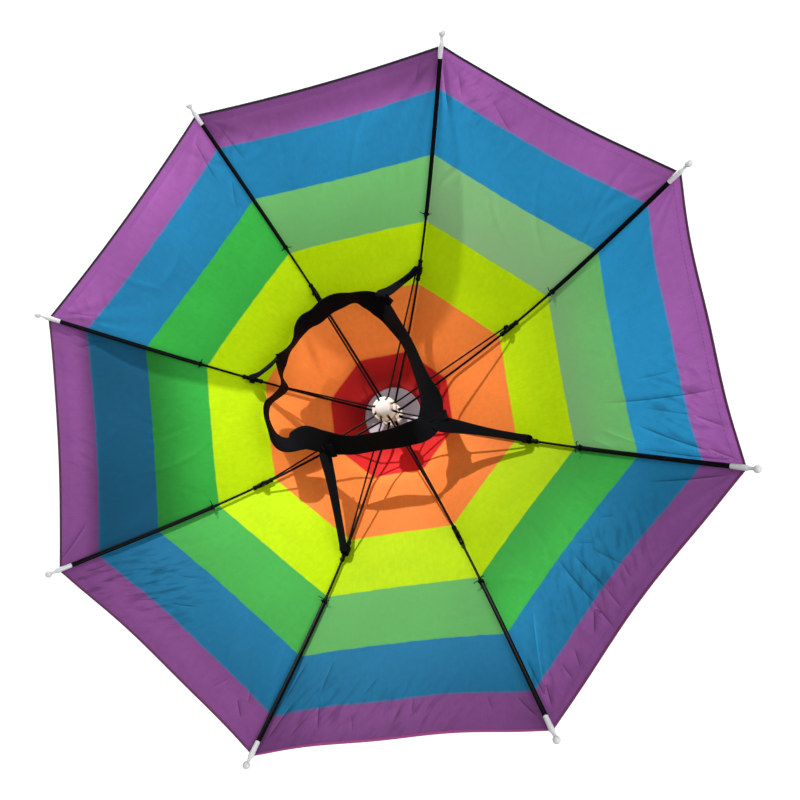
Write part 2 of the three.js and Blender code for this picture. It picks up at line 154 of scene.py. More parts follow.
# Creases on each gore: share across and radius in mm of both ends, depth and width in mm.
creases = {
    1: ((0.98, 290, 0.88, 264, 0.9, 4), (0.82, 291, 0.76, 277, 0.5, 4), (0.47, 285, 0.26, 274, 0.5, 5)),
    2: (
        (-0.48, 215, -0.48, 295, 1.0, 5), (-0.30, 242, -0.30, 268, 0.5, 5), (-0.56, 243, -0.64, 278, 0.6, 4),
        (-0.65, 278, -0.72, 294, 0.8, 4), (-0.72, 235, -0.90, 280, 1.1, 7),
        (-0.93, 235, -0.95, 296, 0.9, 4), (-0.88, 280, -0.94, 296, 0.8, 4),
        (-0.76, 205, -0.88, 234, -0.6, 3), (-0.86, 194, -0.94, 210, -0.5, 3),
    ),
    3: (
        (0.78, 250, 0.94, 293, 1.0, 4), (0.34, 235, 0.40, 244, 0.5, 3), (0.04, 232, 0.12, 245, 0.5, 3),
        (-0.06, 238, -0.11, 276, 1.0, 4), (-0.11, 276, -0.14, 292, 0.8, 4), (-0.19, 232, -0.24, 274, 1.1, 6),
        (-0.24, 274, -0.27, 297, 0.9, 5), (0.07, 246, 0.10, 275, 0.7, 4), (0.10, 275, 0.05, 285, 0.7, 4),
        (-0.27, 276, -0.39, 287, 0.9, 5), (-0.57, 281, -0.61, 291, 0.8, 4),
        (-0.71, 279, -0.70, 291, 0.8, 4), (-0.66, 236, -0.92, 279, -0.8, 6),
        (-0.94, 255, -0.94, 283, 0.9, 5), (-0.89, 277, -0.93, 290, 0.9, 4),
    ),
    4: (
        (0.87, 277, 0.94, 290, 0.9, 5), (0.66, 276, 0.67, 285, 0.5, 4),
        (-0.90, 235, -0.95, 262, 1.4, 9), (-0.86, 266, -0.94, 289, 1.0, 4),
        (-0.62, 238, -0.64, 262, 0.7, 3), (-0.18, 255, -0.27, 266, 0.6, 4),
        (-0.62, 270, -0.57, 288, 1.0, 4), (-0.68, 278, -0.76, 290, 0.7, 4),
        (-0.34, 281, -0.31, 292, 0.6, 4), (0.12, 274, 0.11, 283, 0.7, 4), (0.02, 280, -0.03, 290, 0.6, 4),
    ),
    5: (
        (-0.90, 287, -0.88, 275, 0.8, 4), (-0.73, 277, -0.68, 269, 0.6, 3), (-0.43, 280, -0.34, 268, 0.6, 3),
        (-0.60, 254, -0.55, 246, 0.6, 3),
        (-0.42, 245, -0.31, 238, 0.4, 3), (-0.25, 266, -0.08, 255, 0.8, 4), (0.70, 282, 0.79, 289, 0.9, 5),
        (0.49, 287, 0.54, 277, 0.5, 3), (0.75, 271, 0.79, 279, 0.6, 4),
    ),
    6: ((0.92, 300, 0.70, 282, 0.7, 4), (-0.90, 272, -0.94, 258, 0.6, 4), (-0.82, 280, -0.88, 268, 0.6, 4)),
    7: ((0.90, 292, 0.84, 274, 0.6, 4), (-0.86, 290, -0.80, 262, 0.7, 5), (-0.92, 250, -0.80, 236, 0.5, 4)),
    8: ((-0.83, 295, -0.80, 283, 0.5, 4), (0.88, 290, 0.84, 262, 0.6, 4)),
}
# Patches of fine wrinkles on each gore: share across, radius, reach in metres and amount.
wrinkled_patches = {
    1: ((0.6, 0.285, 0.03, 0.5),),
    2: ((-0.6, 0.27, 0.04, 0.8),),
    3: ((0.0, 0.262, 0.05, 0.8), (-0.9, 0.27, 0.03, 0.6)),
    4: ((-0.6, 0.275, 0.035, 0.8), (0.1, 0.285, 0.04, 0.6)),
    5: ((-0.5, 0.262, 0.045, 1.0), (-0.75, 0.285, 0.03, 1.0)),
    6: ((-0.9, 0.28, 0.02, 0.5), (0.1, 0.285, 0.02, 0.4)),
    7: ((0.8, 0.28, 0.02, 0.4),),
    8: ((0.85, 0.275, 0.02, 0.4),),
}


def crease_places(gore, share, radius):
    """For each crease of a gore: how much of it is left near its ends, the distance
    aside from its slightly bowed line, and its depth and width."""
    x, y = share * radius * math.sin(half_step), radius * math.cos(half_step)
    for start_share, start, end_share, end, deep, wide in creases[gore]:
        start, end, deep, wide = (value / 1000 for value in (start, end, deep, wide))
        near = np.array([start_share * start * math.sin(half_step), start * math.cos(half_step)])
        run = np.array([end_share * end * math.sin(half_step), end * math.cos(half_step)]) - near
        along = ((x - near[0]) * run[0] + (y - near[1]) * run[1]) / (run @ run)
        aside = ((x - near[0]) * run[1] - (y - near[1]) * run[0]) / math.hypot(*run)
        bowed = aside + 0.06 * math.hypot(*run) * (along - along**2)
        ends = smooth(along, -0.15, 0.25) * (1 - smooth(along, 0.75, 1.15))
        yield ends, bowed, deep, wide


def crease_depth(gore, share, radius):
    """Depth of the creases: each is a valley with a bell-shaped section."""
    depth = np.zeros_like(share * radius)
    for ends, aside, deep, wide in crease_places(gore, share, radius):
        depth += 0.75 * deep * ends * np.exp(-((aside / wide * 1.3) ** 2))
    return depth


fold_reach = 8.0


# The material paints shade and highlight along these creases and shade in the wrinkled patches.
def crease_line(gore, share, radius):
    """The strongest crease near each point: millimetres aside from its line, its strength
    there, which dies away within 4 mm, and how finely wrinkled the cloth is. A ridge has
    a negative strength. Each wrinkled patch is a bell round its middle."""
    aside_here, strength = np.full(share.shape, fold_reach), np.zeros(share.shape)
    for ends, aside, deep, wide in crease_places(gore, share, radius):
        own = np.sign(deep) * np.clip(abs(deep) * 900, 0.3, 1) * ends * np.exp(-((aside / 0.004) ** 2))
        stronger = np.abs(own) > np.abs(strength)
        aside_here = np.where(stronger, np.clip(aside * 1000, -fold_reach, fold_reach), aside_here)
        strength = np.where(stronger, own, strength)
    wrinkled = np.zeros(share.shape)
    across = share * radius * math.sin(half_step)
    for middle_share, middle_radius, reach, amount in wrinkled_patches[gore]:
        middle = middle_share * middle_radius * math.sin(half_step)
        off = np.hypot((across - middle) / reach, (radius - middle_radius) / 0.6 / reach)
        wrinkled = np.maximum(wrinkled, amount * np.exp(-(off**2)))
    return np.stack([aside_here, strength, wrinkled], -1)


def puckers(gore, share, radius):
    """Height of the creases on one gore: fans of ripples that leave the two corners, a
    slow flutter along the hem, short stray ridges and valleys, and the placed creases."""
    dice = np.random.default_rng(40 + gore)
    across = share * radius * math.tan(half_step)
    ripple = np.zeros_like(across)
    for side in (-1, 1):
        inwards = rim_radius - radius
        aside = rim_radius * math.tan(half_step) - side * across
        distance = np.hypot(inwards, aside) + 1e-6
        fan = np.arctan2(inwards, aside)
        strength = dice.uniform(0.5, 1.0) * smooth(distance, 0.004, 0.03)
        waves = np.sin(fan * dice.uniform(15, 19) + dice.uniform(0, 6))
        waves += 0.6 * np.sin(fan * dice.uniform(24, 30) + dice.uniform(0, 6))
        ripple += fan_height * strength * waves * np.exp(-distance / dice.uniform(0.035, 0.06))
    flutter = np.sin(share * dice.uniform(3.5, 6) + dice.uniform(0, 6))
    ripple += flutter_height * flutter * smooth(radius, 0.20, rim_radius) * (1 - share**4)
    for _ in range(9):
        start = dice.uniform(-0.92, 0.92)
        middle_radius = dice.uniform(0.205, 0.285)
        angle = dice.uniform(-0.9, 0.9) + (math.pi / 2 if dice.random() < 0.3 else 0)
        length = dice.uniform(0.012, 0.030)
        x = across - start * middle_radius * math.tan(half_step)
        y = radius - middle_radius
        along = x * math.sin(angle) + y * math.cos(angle)
        off = x * math.cos(angle) - y * math.sin(angle) + 6 * along**2
        height = dice.choice([-1, 1]) * dice.uniform(0.0003, 0.0007)
        ripple += height * np.exp(-((off / 0.0022) ** 2) - (along / length) ** 2)
    return ripple * smooth(radius, 0.10, 0.20) - crease_depth(gore, share, radius)


def cloth_point(gore, share, radius, lift=0.0):
    """A point of one gore: straight across between two ribs, bowed in at the hem and
    risen a little in the middle, then pushed off the cloth by its creases and lift."""
    middle = 1 - share**2
    reach = smooth(radius, clamp_radius, rim_radius)
    slope = (cloth_height(radius + 1e-5) - cloth_height(radius - 1e-5)) / 2e-5
    length = np.hypot(1, slope)
    off = lift + puckers(gore, share, radius)
    x = radius * math.cos(half_step) - hem_bow * middle * reach**3 - off * slope / length
    y = share * radius * math.sin(half_step)
    z = cloth_height(radius) + gore_rise * middle * np.sin(np.pi * reach**0.8)
    points = np.stack([x, y, z + off / length], -1)
    return turn_about_z(points, rib_azimuth(gore) - half_step)


def mesh_piece(name, points, faces, material, uv=None, crease=35):
    """A mesh object at the origin. points is an array of places, faces a list of corner
    numbers, uv an array with one row for each point."""
    mesh = bpy.data.meshes.new(name)
    mesh.from_pydata(points.reshape(-1, 3).tolist(), [], faces)
    mesh.polygons.foreach_set("use_smooth", [True] * len(mesh.polygons))
    mesh.set_sharp_from_angle(angle=math.radians(crease))
    if uv is not None:
        corner = np.zeros(len(mesh.loops), np.int32)
        mesh.loops.foreach_get("vertex_index", corner)
        layer = mesh.uv_layers.new(name="cloth")
        layer.data.foreach_set("uv", uv.reshape(-1, 2)[corner].astype(np.float32).ravel())
    mesh.materials.append(material)
    piece = bpy.data.objects.new(name, mesh)
    bpy.context.scene.collection.objects.link(piece)
    return piece


def grid_faces(rows, columns, loop_rows=False, loop_columns=False, caps=False):
    """Quads of a grid of points, joined round where it is a loop, and its two end rows
    closed by one face each where it has caps."""
    row = np.arange(rows if loop_rows else rows - 1)[:, None]
    column = np.arange(columns if loop_columns else columns - 1)[None, :]
    next_row, next_column = (row + 1) % rows, (column + 1) % columns
    quads = np.stack(
        [
            row * columns + column,
            row * columns + next_column,
            next_row * columns + next_column,
            next_row * columns + column,
        ],
        -1,
    ).reshape(-1, 4)
    faces = quads.tolist()
    if caps:
        faces.append(list(range(columns))[::-1])
        faces.append(list(range((rows - 1) * columns, rows * columns)))
    return faces


def finished(piece, *nodes):
    """Puts a finished piece on the frame, in place of the CAD nodes it stands for."""
    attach(piece, "root")
    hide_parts(*nodes)
    return piece


def round_the_ribs(label, node, points, faces, material, crease):
    """One piece for each rib, made in the plane of X and turned to the rib's azimuth."""
    pieces = []
    for number in range(1, rib_count + 1):
        turned = turn_about_z(points, rib_azimuth(number))
        piece = mesh_piece(f"{label}_{number}", turned, faces, material, crease=crease)
        pieces.append(finished(piece, f"{node}_{number}"))
    return pieces


def new_group(name, inputs, outputs):
    """An empty shader node group with named inputs and outputs."""
    tree = bpy.data.node_groups.new(name, "ShaderNodeTree")
    for label, kind, value in inputs:
        socket = tree.interface.new_socket(name=label, in_out="INPUT", socket_type=kind)
        if value is not None:
            socket.default_value = value
    for label, kind in outputs:
        tree.interface.new_socket(name=label, in_out="OUTPUT", socket_type=kind)
    inside = tree.nodes.new("NodeGroupInput").outputs
    return tree, inside, tree.nodes.new("NodeGroupOutput").inputs


def calc(tree, operation, *values):
    """A Math node with its values or links filled in; returns its output."""
    node = tree.nodes.new("ShaderNodeMath")
    node.operation = operation
    for socket, value in zip(node.inputs, values):
        if isinstance(value, bpy.types.NodeSocket):
            tree.links.new(value, socket)
        else:
            socket.default_value = value
    return node.outputs[0]


def product(tree, *values):
    """Several values or links multiplied together."""
    result = values[0]
    for value in values[1:]:
        result = calc(tree, "MULTIPLY", result, value)
    return result


def split(tree, vector):
    """The three parts of a vector."""
    node = tree.nodes.new("ShaderNodeSeparateXYZ")
    tree.links.new(vector, node.inputs[0])
    return tuple(node.outputs)


def cloth_place(tree):
    """Metres across and along the cloth, from the piece's own UV layer."""
    node = tree.nodes.new("ShaderNodeUVMap")
    node.uv_map = "cloth"
    return node.outputs[0]


def attribute(tree, name):
    """The outputs of an attribute that the mesh carries."""
    node = tree.nodes.new("ShaderNodeAttribute")
    node.attribute_name = name
    return node.outputs


def noise(tree, vector, scale, detail=3.0, roughness=0.5):
    """A Noise Texture's value, from 0 to 1."""
    node = tree.nodes.new("ShaderNodeTexNoise")
    node.inputs["Scale"].default_value = scale
    node.inputs["Detail"].default_value = detail
    node.inputs["Roughness"].default_value = roughness
    tree.links.new(vector, node.inputs["Vector"])
    return node.outputs[0]


def rescaled(tree, value, low, high, to_low, to_high):
    """A value's range low to high carried to to_low to to_high, clamped."""
    node = tree.nodes.new("ShaderNodeMapRange")
    tree.links.new(value, node.inputs["Value"])
    ends = {"From Min": low, "From Max": high, "To Min": to_low, "To Max": to_high}
    for label, number in ends.items():
        node.inputs[label].default_value = number
    return node.outputs[0]


def tinted(tree, factor, first, second):
    """Two colours mixed by a factor; each is a colour or a link."""
    node = tree.nodes.new("ShaderNodeMix")
    node.data_type = "RGBA"
    tree.links.new(factor, node.inputs["Factor"])
    for socket, colour in ((node.inputs[6], first), (node.inputs[7], second)):
        if isinstance(colour, bpy.types.NodeSocket):
            tree.links.new(colour, socket)
        else:
            socket.default_value = colour
    return node.outputs[2]


def dimmed(tree, colour, factor):
    """A colour multiplied by a factor."""
    node = tree.nodes.new("ShaderNodeVectorMath")
    node.operation = "SCALE"
    tree.links.new(colour, node.inputs[0])
    tree.links.new(factor, node.inputs["Scale"])
    return node.outputs[0]


def paint(red, green, blue):
    """A colour as a screen shows it, 0 to 255, turned into linear light."""
    part = np.array([red, green, blue]) / 255
    linear = np.where(part <= 0.04045, part / 12.92, ((part + 0.055) / 1.055) ** 2.4)
    return (*linear.tolist(), 1.0)


def new_material(name, roughness, **settings):
    """A material with a Principled shader whose unchanging values are set on its sockets."""
    material = bpy.data.materials.new(name)
    material.use_nodes = True
    tree = material.node_tree
    shader = tree.nodes["Principled BSDF"]
    shader.inputs["Roughness"].default_value = roughness
    for label, value in settings.items():
        shader.inputs[label.replace("_", " ")].default_value = value
    return material, tree, shader


def place_group(tree, group, **links):
    """A node group placed in a material, with values or links on its inputs."""
    node = tree.nodes.new("ShaderNodeGroup")
    node.node_tree = group
    for label, value in links.items():
        socket = node.inputs[label.replace("_", " ")]
        if isinstance(value, bpy.types.NodeSocket):
            tree.links.new(value, socket)
        else:
            socket.default_value = value
    return node.outputs


def add_bump(tree, shader, height, distance, strength=1.0):
    """Feeds a height to the shader's normal through a Bump node."""
    node = tree.nodes.new("ShaderNodeBump")
    node.inputs["Distance"].default_value = distance
    node.inputs["Strength"].default_value = strength
    tree.links.new(height, node.inputs["Height"])
    tree.links.new(node.outputs[0], shader.inputs["Normal"])


# Weave: threads over and under each other, as a height and a shade that vary over the
# cloth. Cloth coordinates are metres, and a Pitch is the length of one over and under.
weave, weave_in, weave_out = new_group(
    "weave",
    [
        ("Cloth", "NodeSocketVector", None),
        ("Warp Pitch", "NodeSocketFloat", 0.0005),
        ("Weft Pitch", "NodeSocketFloat", 0.0005),
        ("Slub", "NodeSocketFloat", 0.2),
    ],
    [("Height", "NodeSocketFloat"), ("Shade", "NodeSocketFloat")],
)
waves = []
for place, pitch in zip(split(weave, weave_in["Cloth"]), ("Warp Pitch", "Weft Pitch")):
    turn = calc(weave, "DIVIDE", product(weave, place, 2 * math.pi), weave_in[pitch])
    waves.append(calc(weave, "SINE", turn))
over_under = product(weave, *waves)
slub_stretch = weave.nodes.new("ShaderNodeMapping")
slub_stretch.inputs["Scale"].default_value = (1.0, 0.06, 1.0)
weave.links.new(weave_in["Cloth"], slub_stretch.inputs["Vector"])
slubs = calc(weave, "SUBTRACT", noise(weave, slub_stretch.outputs[0], 900, 2.0), 0.5)
thread_shade = calc(weave, "MULTIPLY_ADD", over_under, 0.06, 1.0)
weave.links.new(calc(weave, "MULTIPLY_ADD", over_under, 0.5, 0.5), weave_out["Height"])
weave.links.new(calc(weave, "MULTIPLY_ADD", slubs, weave_in["Slub"], thread_shade), weave_out["Shade"])

# The nylon's finish: six printed bands by distance from the crown, threads, clouds in
# the dye, a painted sheen that pales the green on some gores, painted shade and highlight
# along folds and wrinkles, and painted light and shade on each gore, by its hem and round
# the crown. Some light comes through the cloth.
band_edges = (0.063, 0.125, 0.1775, 0.228, 0.273)
edge_blur = 0.0004
band_colours = (
    paint(198, 34, 35),
    paint(249, 134, 60),
    paint(192, 226, 0),
    paint(56, 170, 66),
    paint(34, 120, 164),
    paint(142, 80, 145),
)
painted_sheen_colour = paint(184, 200, 164)
nylon, nylon_tree, nylon_shader = new_material("canopy_nylon", 0.6, Specular_IOR_Level=0.12)
cloth = cloth_place(nylon_tree)
print_wobble = calc(nylon_tree, "MULTIPLY_ADD", noise(nylon_tree, cloth, 60, 3.0), 0.0016, -0.0008)
from_crown = calc(nylon_tree, "ADD", split(nylon_tree, cloth)[1], print_wobble)
band_ramp = nylon_tree.nodes.new("ShaderNodeValToRGB")
band_stops = band_ramp.color_ramp.elements
band_stops[0].color = band_colours[0]
band_stops[1].color = band_colours[-1]
for edge, before, after in zip(band_edges, band_colours[:-1], band_colours[1:]):
    band_stops.new((edge - edge_blur) / rim_radius).color = before
    band_stops.new((edge + edge_blur) / rim_radius).color = after
nylon_tree.links.new(calc(nylon_tree, "DIVIDE", from_crown, rim_radius), band_ramp.inputs[0])

# Painted shade and highlight along the creases: a dark line, a soft shade on one side and a pale edge on the
# other, as strong as the crease.
fold_aside, fold_strength, wrinkled = split(nylon_tree, attribute(nylon_tree, "fold")["Vector"])
fold_ramp = nylon_tree.nodes.new("ShaderNodeValToRGB")
fold_stops = fold_ramp.color_ramp.elements
fold_stops[0].color = (0.5, 0.5, 0.5, 1)
fold_stops[1].color = (0.5, 0.5, 0.5, 1)
for aside, level in ((-3.0, 0.55), (-0.7, 0.64), (-0.2, 0.04), (0.25, 0.04), (0.8, 0.30), (3.5, 0.42)):
    fold_stops.new((aside / fold_reach + 1) / 2).color = (level, level, level, 1)
fold_share = calc(nylon_tree, "MULTIPLY_ADD", fold_aside, 0.5 / fold_reach, 0.5)
nylon_tree.links.new(fold_share, fold_ramp.inputs[0])
fold_level = calc(nylon_tree, "MULTIPLY_ADD", fold_ramp.outputs[0], 1.3, -0.65)
painted_fold_shade = calc(nylon_tree, "MULTIPLY_ADD", fold_level, fold_strength, 1.0)

# Painted shade in the wrinkled patches: a streaky noise darkens the colour there and also raises the bump.
wrinkle_turn = nylon_tree.nodes.new("ShaderNodeMapping")
wrinkle_turn.vector_type = "TEXTURE"
wrinkle_turn.inputs["Rotation"].default_value = (0, 0, -0.85)
wrinkle_turn.inputs["Scale"].default_value = (3.5, 1.0, 1.0)
nylon_tree.links.new(cloth, wrinkle_turn.inputs["Vector"])
wrinkle_wave = noise(nylon_tree, wrinkle_turn.outputs[0], 210, 1.5, 0.4)
wrinkle_level = rescaled(nylon_tree, wrinkle_wave, 0.34, 0.52, -0.36, 0.08)
painted_wrinkle_shade = calc(nylon_tree, "MULTIPLY_ADD", wrinkle_level, wrinkled, 1.0)

threads = place_group(nylon_tree, weave, Cloth=cloth, Warp_Pitch=0.0007, Weft_Pitch=0.0007, Slub=0.16)
dye_clouds = rescaled(nylon_tree, noise(nylon_tree, cloth, 14, 4.0), 0.3, 0.7, 0.92, 1.07)
mottle = rescaled(nylon_tree, noise(nylon_tree, cloth, 190, 4.0, 0.6), 0.3, 0.7, 0.95, 1.05)
# Painted light and shade, carried per point: each gore's own levels, the crown's painted shadow and the
# painted shade beside the ribs.
painted_light_level = attribute(nylon_tree, "painted_light")["Fac"]
shade = product(nylon_tree, threads["Shade"], dye_clouds, mottle, painted_wrinkle_shade, painted_light_level, painted_fold_shade)
printed = dimmed(nylon_tree, band_ramp.outputs[0], shade)
green_start, green_end = band_edges[2:4]
past_start = rescaled(nylon_tree, from_crown, green_start - edge_blur, green_start + edge_blur, 0, 1)
before_end = rescaled(nylon_tree, from_crown, green_end - edge_blur, green_end + edge_blur, 1, 0)
# Painted sheen: the green band paled towards a haze of reflected light, by each gore's amount.
painted_sheen_mask = product(nylon_tree, past_start, before_end, attribute(nylon_tree, "painted_sheen")["Fac"])
printed_with_painted_sheen = tinted(nylon_tree, painted_sheen_mask, printed, painted_sheen_colour)
nylon_tree.links.new(printed_with_painted_sheen, nylon_shader.inputs["Base Color"])
wrinkle_height = product(nylon_tree, wrinkle_wave, 10.0, wrinkled)
slack = calc(nylon_tree, "MULTIPLY_ADD", noise(nylon_tree, cloth, 120, 4.0), 3.0, wrinkle_height)
add_bump(nylon_tree, nylon_shader, calc(nylon_tree, "ADD", threads["Height"], slack), 0.00012, 0.6)
glow = nylon_tree.nodes.new("ShaderNodeBsdfTranslucent")
nylon_tree.links.new(printed_with_painted_sheen, glow.inputs["Color"])
light_let_through = 0.34
thin_cloth = nylon_tree.nodes.new("ShaderNodeMixShader")
thin_cloth.inputs["Fac"].default_value = light_let_through
nylon_tree.links.new(nylon_shader.outputs[0], thin_cloth.inputs[1])
nylon_tree.links.new(glow.outputs[0], thin_cloth.inputs[2])
nylon_tree.links.new(thin_cloth.outputs[0], nylon_tree.nodes["Material Output"].inputs["Surface"])

gore_columns = 112
cloth_inner_radius = 0.0064
finer_from = 0.17
inner_rows = np.linspace(cloth_inner_radius, finer_from, 34)[:-1]
outer_rows = np.linspace(finer_from, rim_radius, 67)
cloth_radii = np.concatenate([inner_rows, outer_rows])
seam_bunching = math.pi / 2 * 0.8
seam_shares = np.sin(np.linspace(-1, 1, gore_columns + 1) * seam_bunching) / math.sin(seam_bunching)
share_grid, radius_grid = np.meshgrid(seam_shares, cloth_radii)
half_width = radius_grid * math.sin(half_step)
seam_gap = (1 - np.abs(share_grid)) * half_width
seam_ridge = 0.0007 * np.exp(-((seam_gap / 0.0014) ** 2)) * smooth(radius_grid, 0.035, 0.06)
hem_line = rim_radius - hem_width
hem_fold = hem_fold_height * smooth(radius_grid, hem_line - 0.001, hem_line)
gores = range(1, rib_count + 1)
cloth_points = np.array(
    [cloth_point(gore, share_grid, radius_grid, seam_ridge + hem_fold) for gore in gores]
)
cloth_uvs = np.tile(np.stack([share_grid * half_width, radius_grid], -1).reshape(-1, 2), (rib_count, 1))
one_gore = np.array(grid_faces(len(cloth_radii), gore_columns + 1))
cloth_faces = np.concatenate([one_gore + turn * share_grid.size for turn in range(rib_count)])
canopy = mesh_piece("canopy", cloth_points, cloth_faces.tolist(), nylon, cloth_uvs, crease=60)
# How much painted sheen, a pale haze of reflected light, lies on the green of each gore.
painted_sheen_amounts = {1: 0.54, 2: 0.46, 3: 0.03, 4: 0.18, 5: 0.07, 6: 0.0, 7: 0.0, 8: 0.26}
# Painted light and shade on each gore, how much lighter or darker it is made: its inner bands, its outer
# bands and its hem.
painted_gore_light = {
    1: (-0.05, 0.65, 0.0),
    2: (0.02, 1.80, 0.0),
    3: (-0.20, 0.45, 0.10),
    4: (-0.16, -0.06, 0.10),
    5: (0.04, 0.04, 0.25),
    6: (0.20, -0.42, 0.75),
    7: (0.12, 0.25, 0.20),
    8: (-0.12, 0.06, -0.40),
}
values = {"painted_sheen": [], "painted_light": [], "fold": []}
# Where each gore's painted light and shade lies: its inner bands, its outer bands and a strip along the hem.
inner_bands = smooth(radius_grid, 0.07, 0.13) * (1 - smooth(radius_grid, 0.19, 0.23))
outer_bands = smooth(radius_grid, 0.17, 0.235)
hem_strip = smooth(radius_grid, 0.268, 0.288)
from_tip = np.hypot(seam_gap, rim_radius - radius_grid)
# Painted shade: darker cloth beside each seam, where the rib's shadow falls, and round each rib tip.
painted_rib_and_tip_shade = 0.22 * np.exp(-seam_gap / 0.004) * smooth(radius_grid, 0.14, 0.22)
painted_rib_and_tip_shade += 0.20 * np.exp(-from_tip / 0.022)
for gore, (inner, outer, at_hem) in painted_gore_light.items():
    azimuth = rib_azimuth(gore) - half_step + share_grid * half_step
    # Painted shadow: the cloth round the crown is darkened on the side towards the key light, where the
    # rim's shadow falls.
    in_crown_shade = (1 - smooth(radius_grid, 0.055, 0.075)) * np.cos(azimuth - math.radians(112))
    painted_light_here = 1 + inner * inner_bands + outer * outer_bands + at_hem * hem_strip
    painted_light_here -= 0.36 * in_crown_shade + painted_rib_and_tip_shade
    values["painted_sheen"].append(np.full(share_grid.size, painted_sheen_amounts[gore]))
    values["painted_light"].append(painted_light_here.ravel())
    values["fold"].append(crease_line(gore, share_grid, radius_grid).ravel())
for label, layer_values in values.items():
    kind, target = ("FLOAT_VECTOR", "vector") if label == "fold" else ("FLOAT", "value")
    layer = canopy.data.attributes.new(label, kind, "POINT")
    layer.data.foreach_set(target, np.concatenate(layer_values).astype(np.float32))
finished(canopy, *[f"canopy_gore_{gore}" for gore in gores])

# Grain, shared by the frame's, the crown's and the threads' finishes: a fine grain that
# varies the roughness and stands up a little, and blotches of a worn colour.
grain, grain_in, grain_out = new_group(
    "grain",
    [
        ("Colour", "NodeSocketColor", None),
        ("Worn Colour", "NodeSocketColor", None),
        ("Scale", "NodeSocketFloat", 400.0),
        ("Wear", "NodeSocketFloat", 0.3),
        ("Roughness", "NodeSocketFloat", 0.4),
    ],
    [
        ("Colour", "NodeSocketColor"),
        ("Roughness", "NodeSocketFloat"),
        ("Height", "NodeSocketFloat"),
    ],
)
grain_place = grain.nodes.new("ShaderNodeTexCoord").outputs["Object"]
fine = grain.nodes.new("ShaderNodeTexNoise")
fine.inputs["Detail"].default_value = 4.0
grain.links.new(grain_place, fine.inputs["Vector"])
grain.links.new(grain_in["Scale"], fine.inputs["Scale"])
blotch = rescaled(grain, noise(grain, grain_place, 70, 4.0), 0.45, 0.75, 0.0, 1.0)
worn = product(grain, blotch, grain_in["Wear"])
uneven = calc(grain, "MULTIPLY_ADD", fine.outputs[0], 0.6, 0.7)
grain.links.new(tinted(grain, worn, grain_in["Colour"], grain_in["Worn Colour"]), grain_out["Colour"])
grain.links.new(product(grain, grain_in["Roughness"], uneven), grain_out["Roughness"])
grain.links.new(fine.outputs[0], grain_out["Height"])


def grained_material(name, colour, worn_colour, roughness, scale, wear, bump, **settings):
    """A material whose colour, roughness and bump all come from the grain group."""
    material, tree, shader = new_material(name, roughness, **settings)
    out = place_group(
        tree, grain, Colour=colour, Worn_Colour=worn_colour, Scale=scale, Wear=wear, Roughness=roughness
    )
    tree.links.new(out["Colour"], shader.inputs["Base Color"])
    tree.links.new(out["Roughness"], shader.inputs["Roughness"])
    add_bump(tree, shader, out["Height"], bump)
    return material


# Ribs: eight spring-steel wires, black lacquered, rooted in the notch ring. Beyond
# the thread tie each one runs in a folded steel channel that stiffens its end.
lacquer = grained_material(
    "black_lacquer", paint(5, 5, 7), paint(20, 19, 22), 0.42, 900, 0.35, 0.00003,
    Specular_IOR_Level=0.08,
)
sideways = np.array([0.0, 1.0, 0.0])
tie_radius = 0.1815


def rib_frame(radius):
    """Place, outward and upward directions along a rib, in its own plane, X outwards."""
    radius = np.asarray(radius, float)
    lean = np.arctan(rib_slope(radius))
    zero = np.zeros_like(radius)
    place = np.stack([radius, zero, rib_height(radius)], -1)
    outward = np.stack([np.cos(lean), zero, np.sin(lean)], -1)
    upward = np.stack([-np.sin(lean), zero, np.cos(lean)], -1)
    return place, outward, upward


def carried(path, across, upward, profile, scale=1.0):
    """A profile of (across, up) rows carried along a path; returns rows of rings."""
    scale = np.broadcast_to(np.asarray(scale, float), len(path))[:, None, None]
    profile = np.asarray(profile)
    return (
        path[:, None, :]
        + across[:, None, :] * profile[None, :, 0:1] * scale
        + upward[:, None, :] * profile[None, :, 1:2] * scale
    )


def circle_profile(radius, sides):
    """Rows of (across, up) round a circle."""
    turn = np.arange(sides) * 2 * math.pi / sides
    return np.stack([radius * np.cos(turn), radius * np.sin(turn)], -1)


def joined_parts(parts):
    """Several (points, faces) joined into one, with the corner numbers moved on."""
    points, faces, count = [], [], 0
    for part_points, part_faces in parts:
        flat = np.asarray(part_points).reshape(-1, 3)
        points.append(flat)
        faces += [[corner + count for corner in face] for face in part_faces]
        count += len(flat)
    return np.concatenate(points), faces


def tube(path, across, upward, profile, scale=1.0, closed=False):
    """A profile carried along a path, as points and faces, capped unless closed."""
    rings = carried(path, across, upward, profile, scale)
    return rings, grid_faces(len(path), len(profile), closed, True, not closed)


wire_radius = 0.0011
wire_radii = np.linspace(rib_root_radius, 0.2997, 90)
channel_start = tie_radius - 0.004
channel_radii = np.linspace(channel_start, 0.2990, 60)
channel_profile = np.array(
    [
        [-1.8, -1.0], [-1.8, 0.25], [-1.5, 0.85], [-0.85, 1.15], [0, 1.25], [0.85, 1.15],
        [1.5, 0.85], [1.8, 0.25], [1.8, -1.0], [1.45, -1.0], [1.4, 0.1], [-1.4, 0.1], [-1.45, -1.0],
    ]
)[::-1] * 0.001


def rib_parts():
    """The wire and its channel in the rib's own plane."""
    place, outward, upward = rib_frame(wire_radii)
    side = np.broadcast_to(sideways, place.shape)
    wire = tube(place, side, upward, circle_profile(wire_radius, 14))
    place, outward, upward = rib_frame(channel_radii)
    side = np.broadcast_to(sideways, place.shape)
    flare = 0.72 + 0.28 * smooth(channel_radii, channel_start, tie_radius + 0.004)
    return [wire, tube(place, side, upward, channel_profile, flare)]


round_the_ribs("rib_wire", "rib", *joined_parts(rib_parts()), lacquer, crease=40)

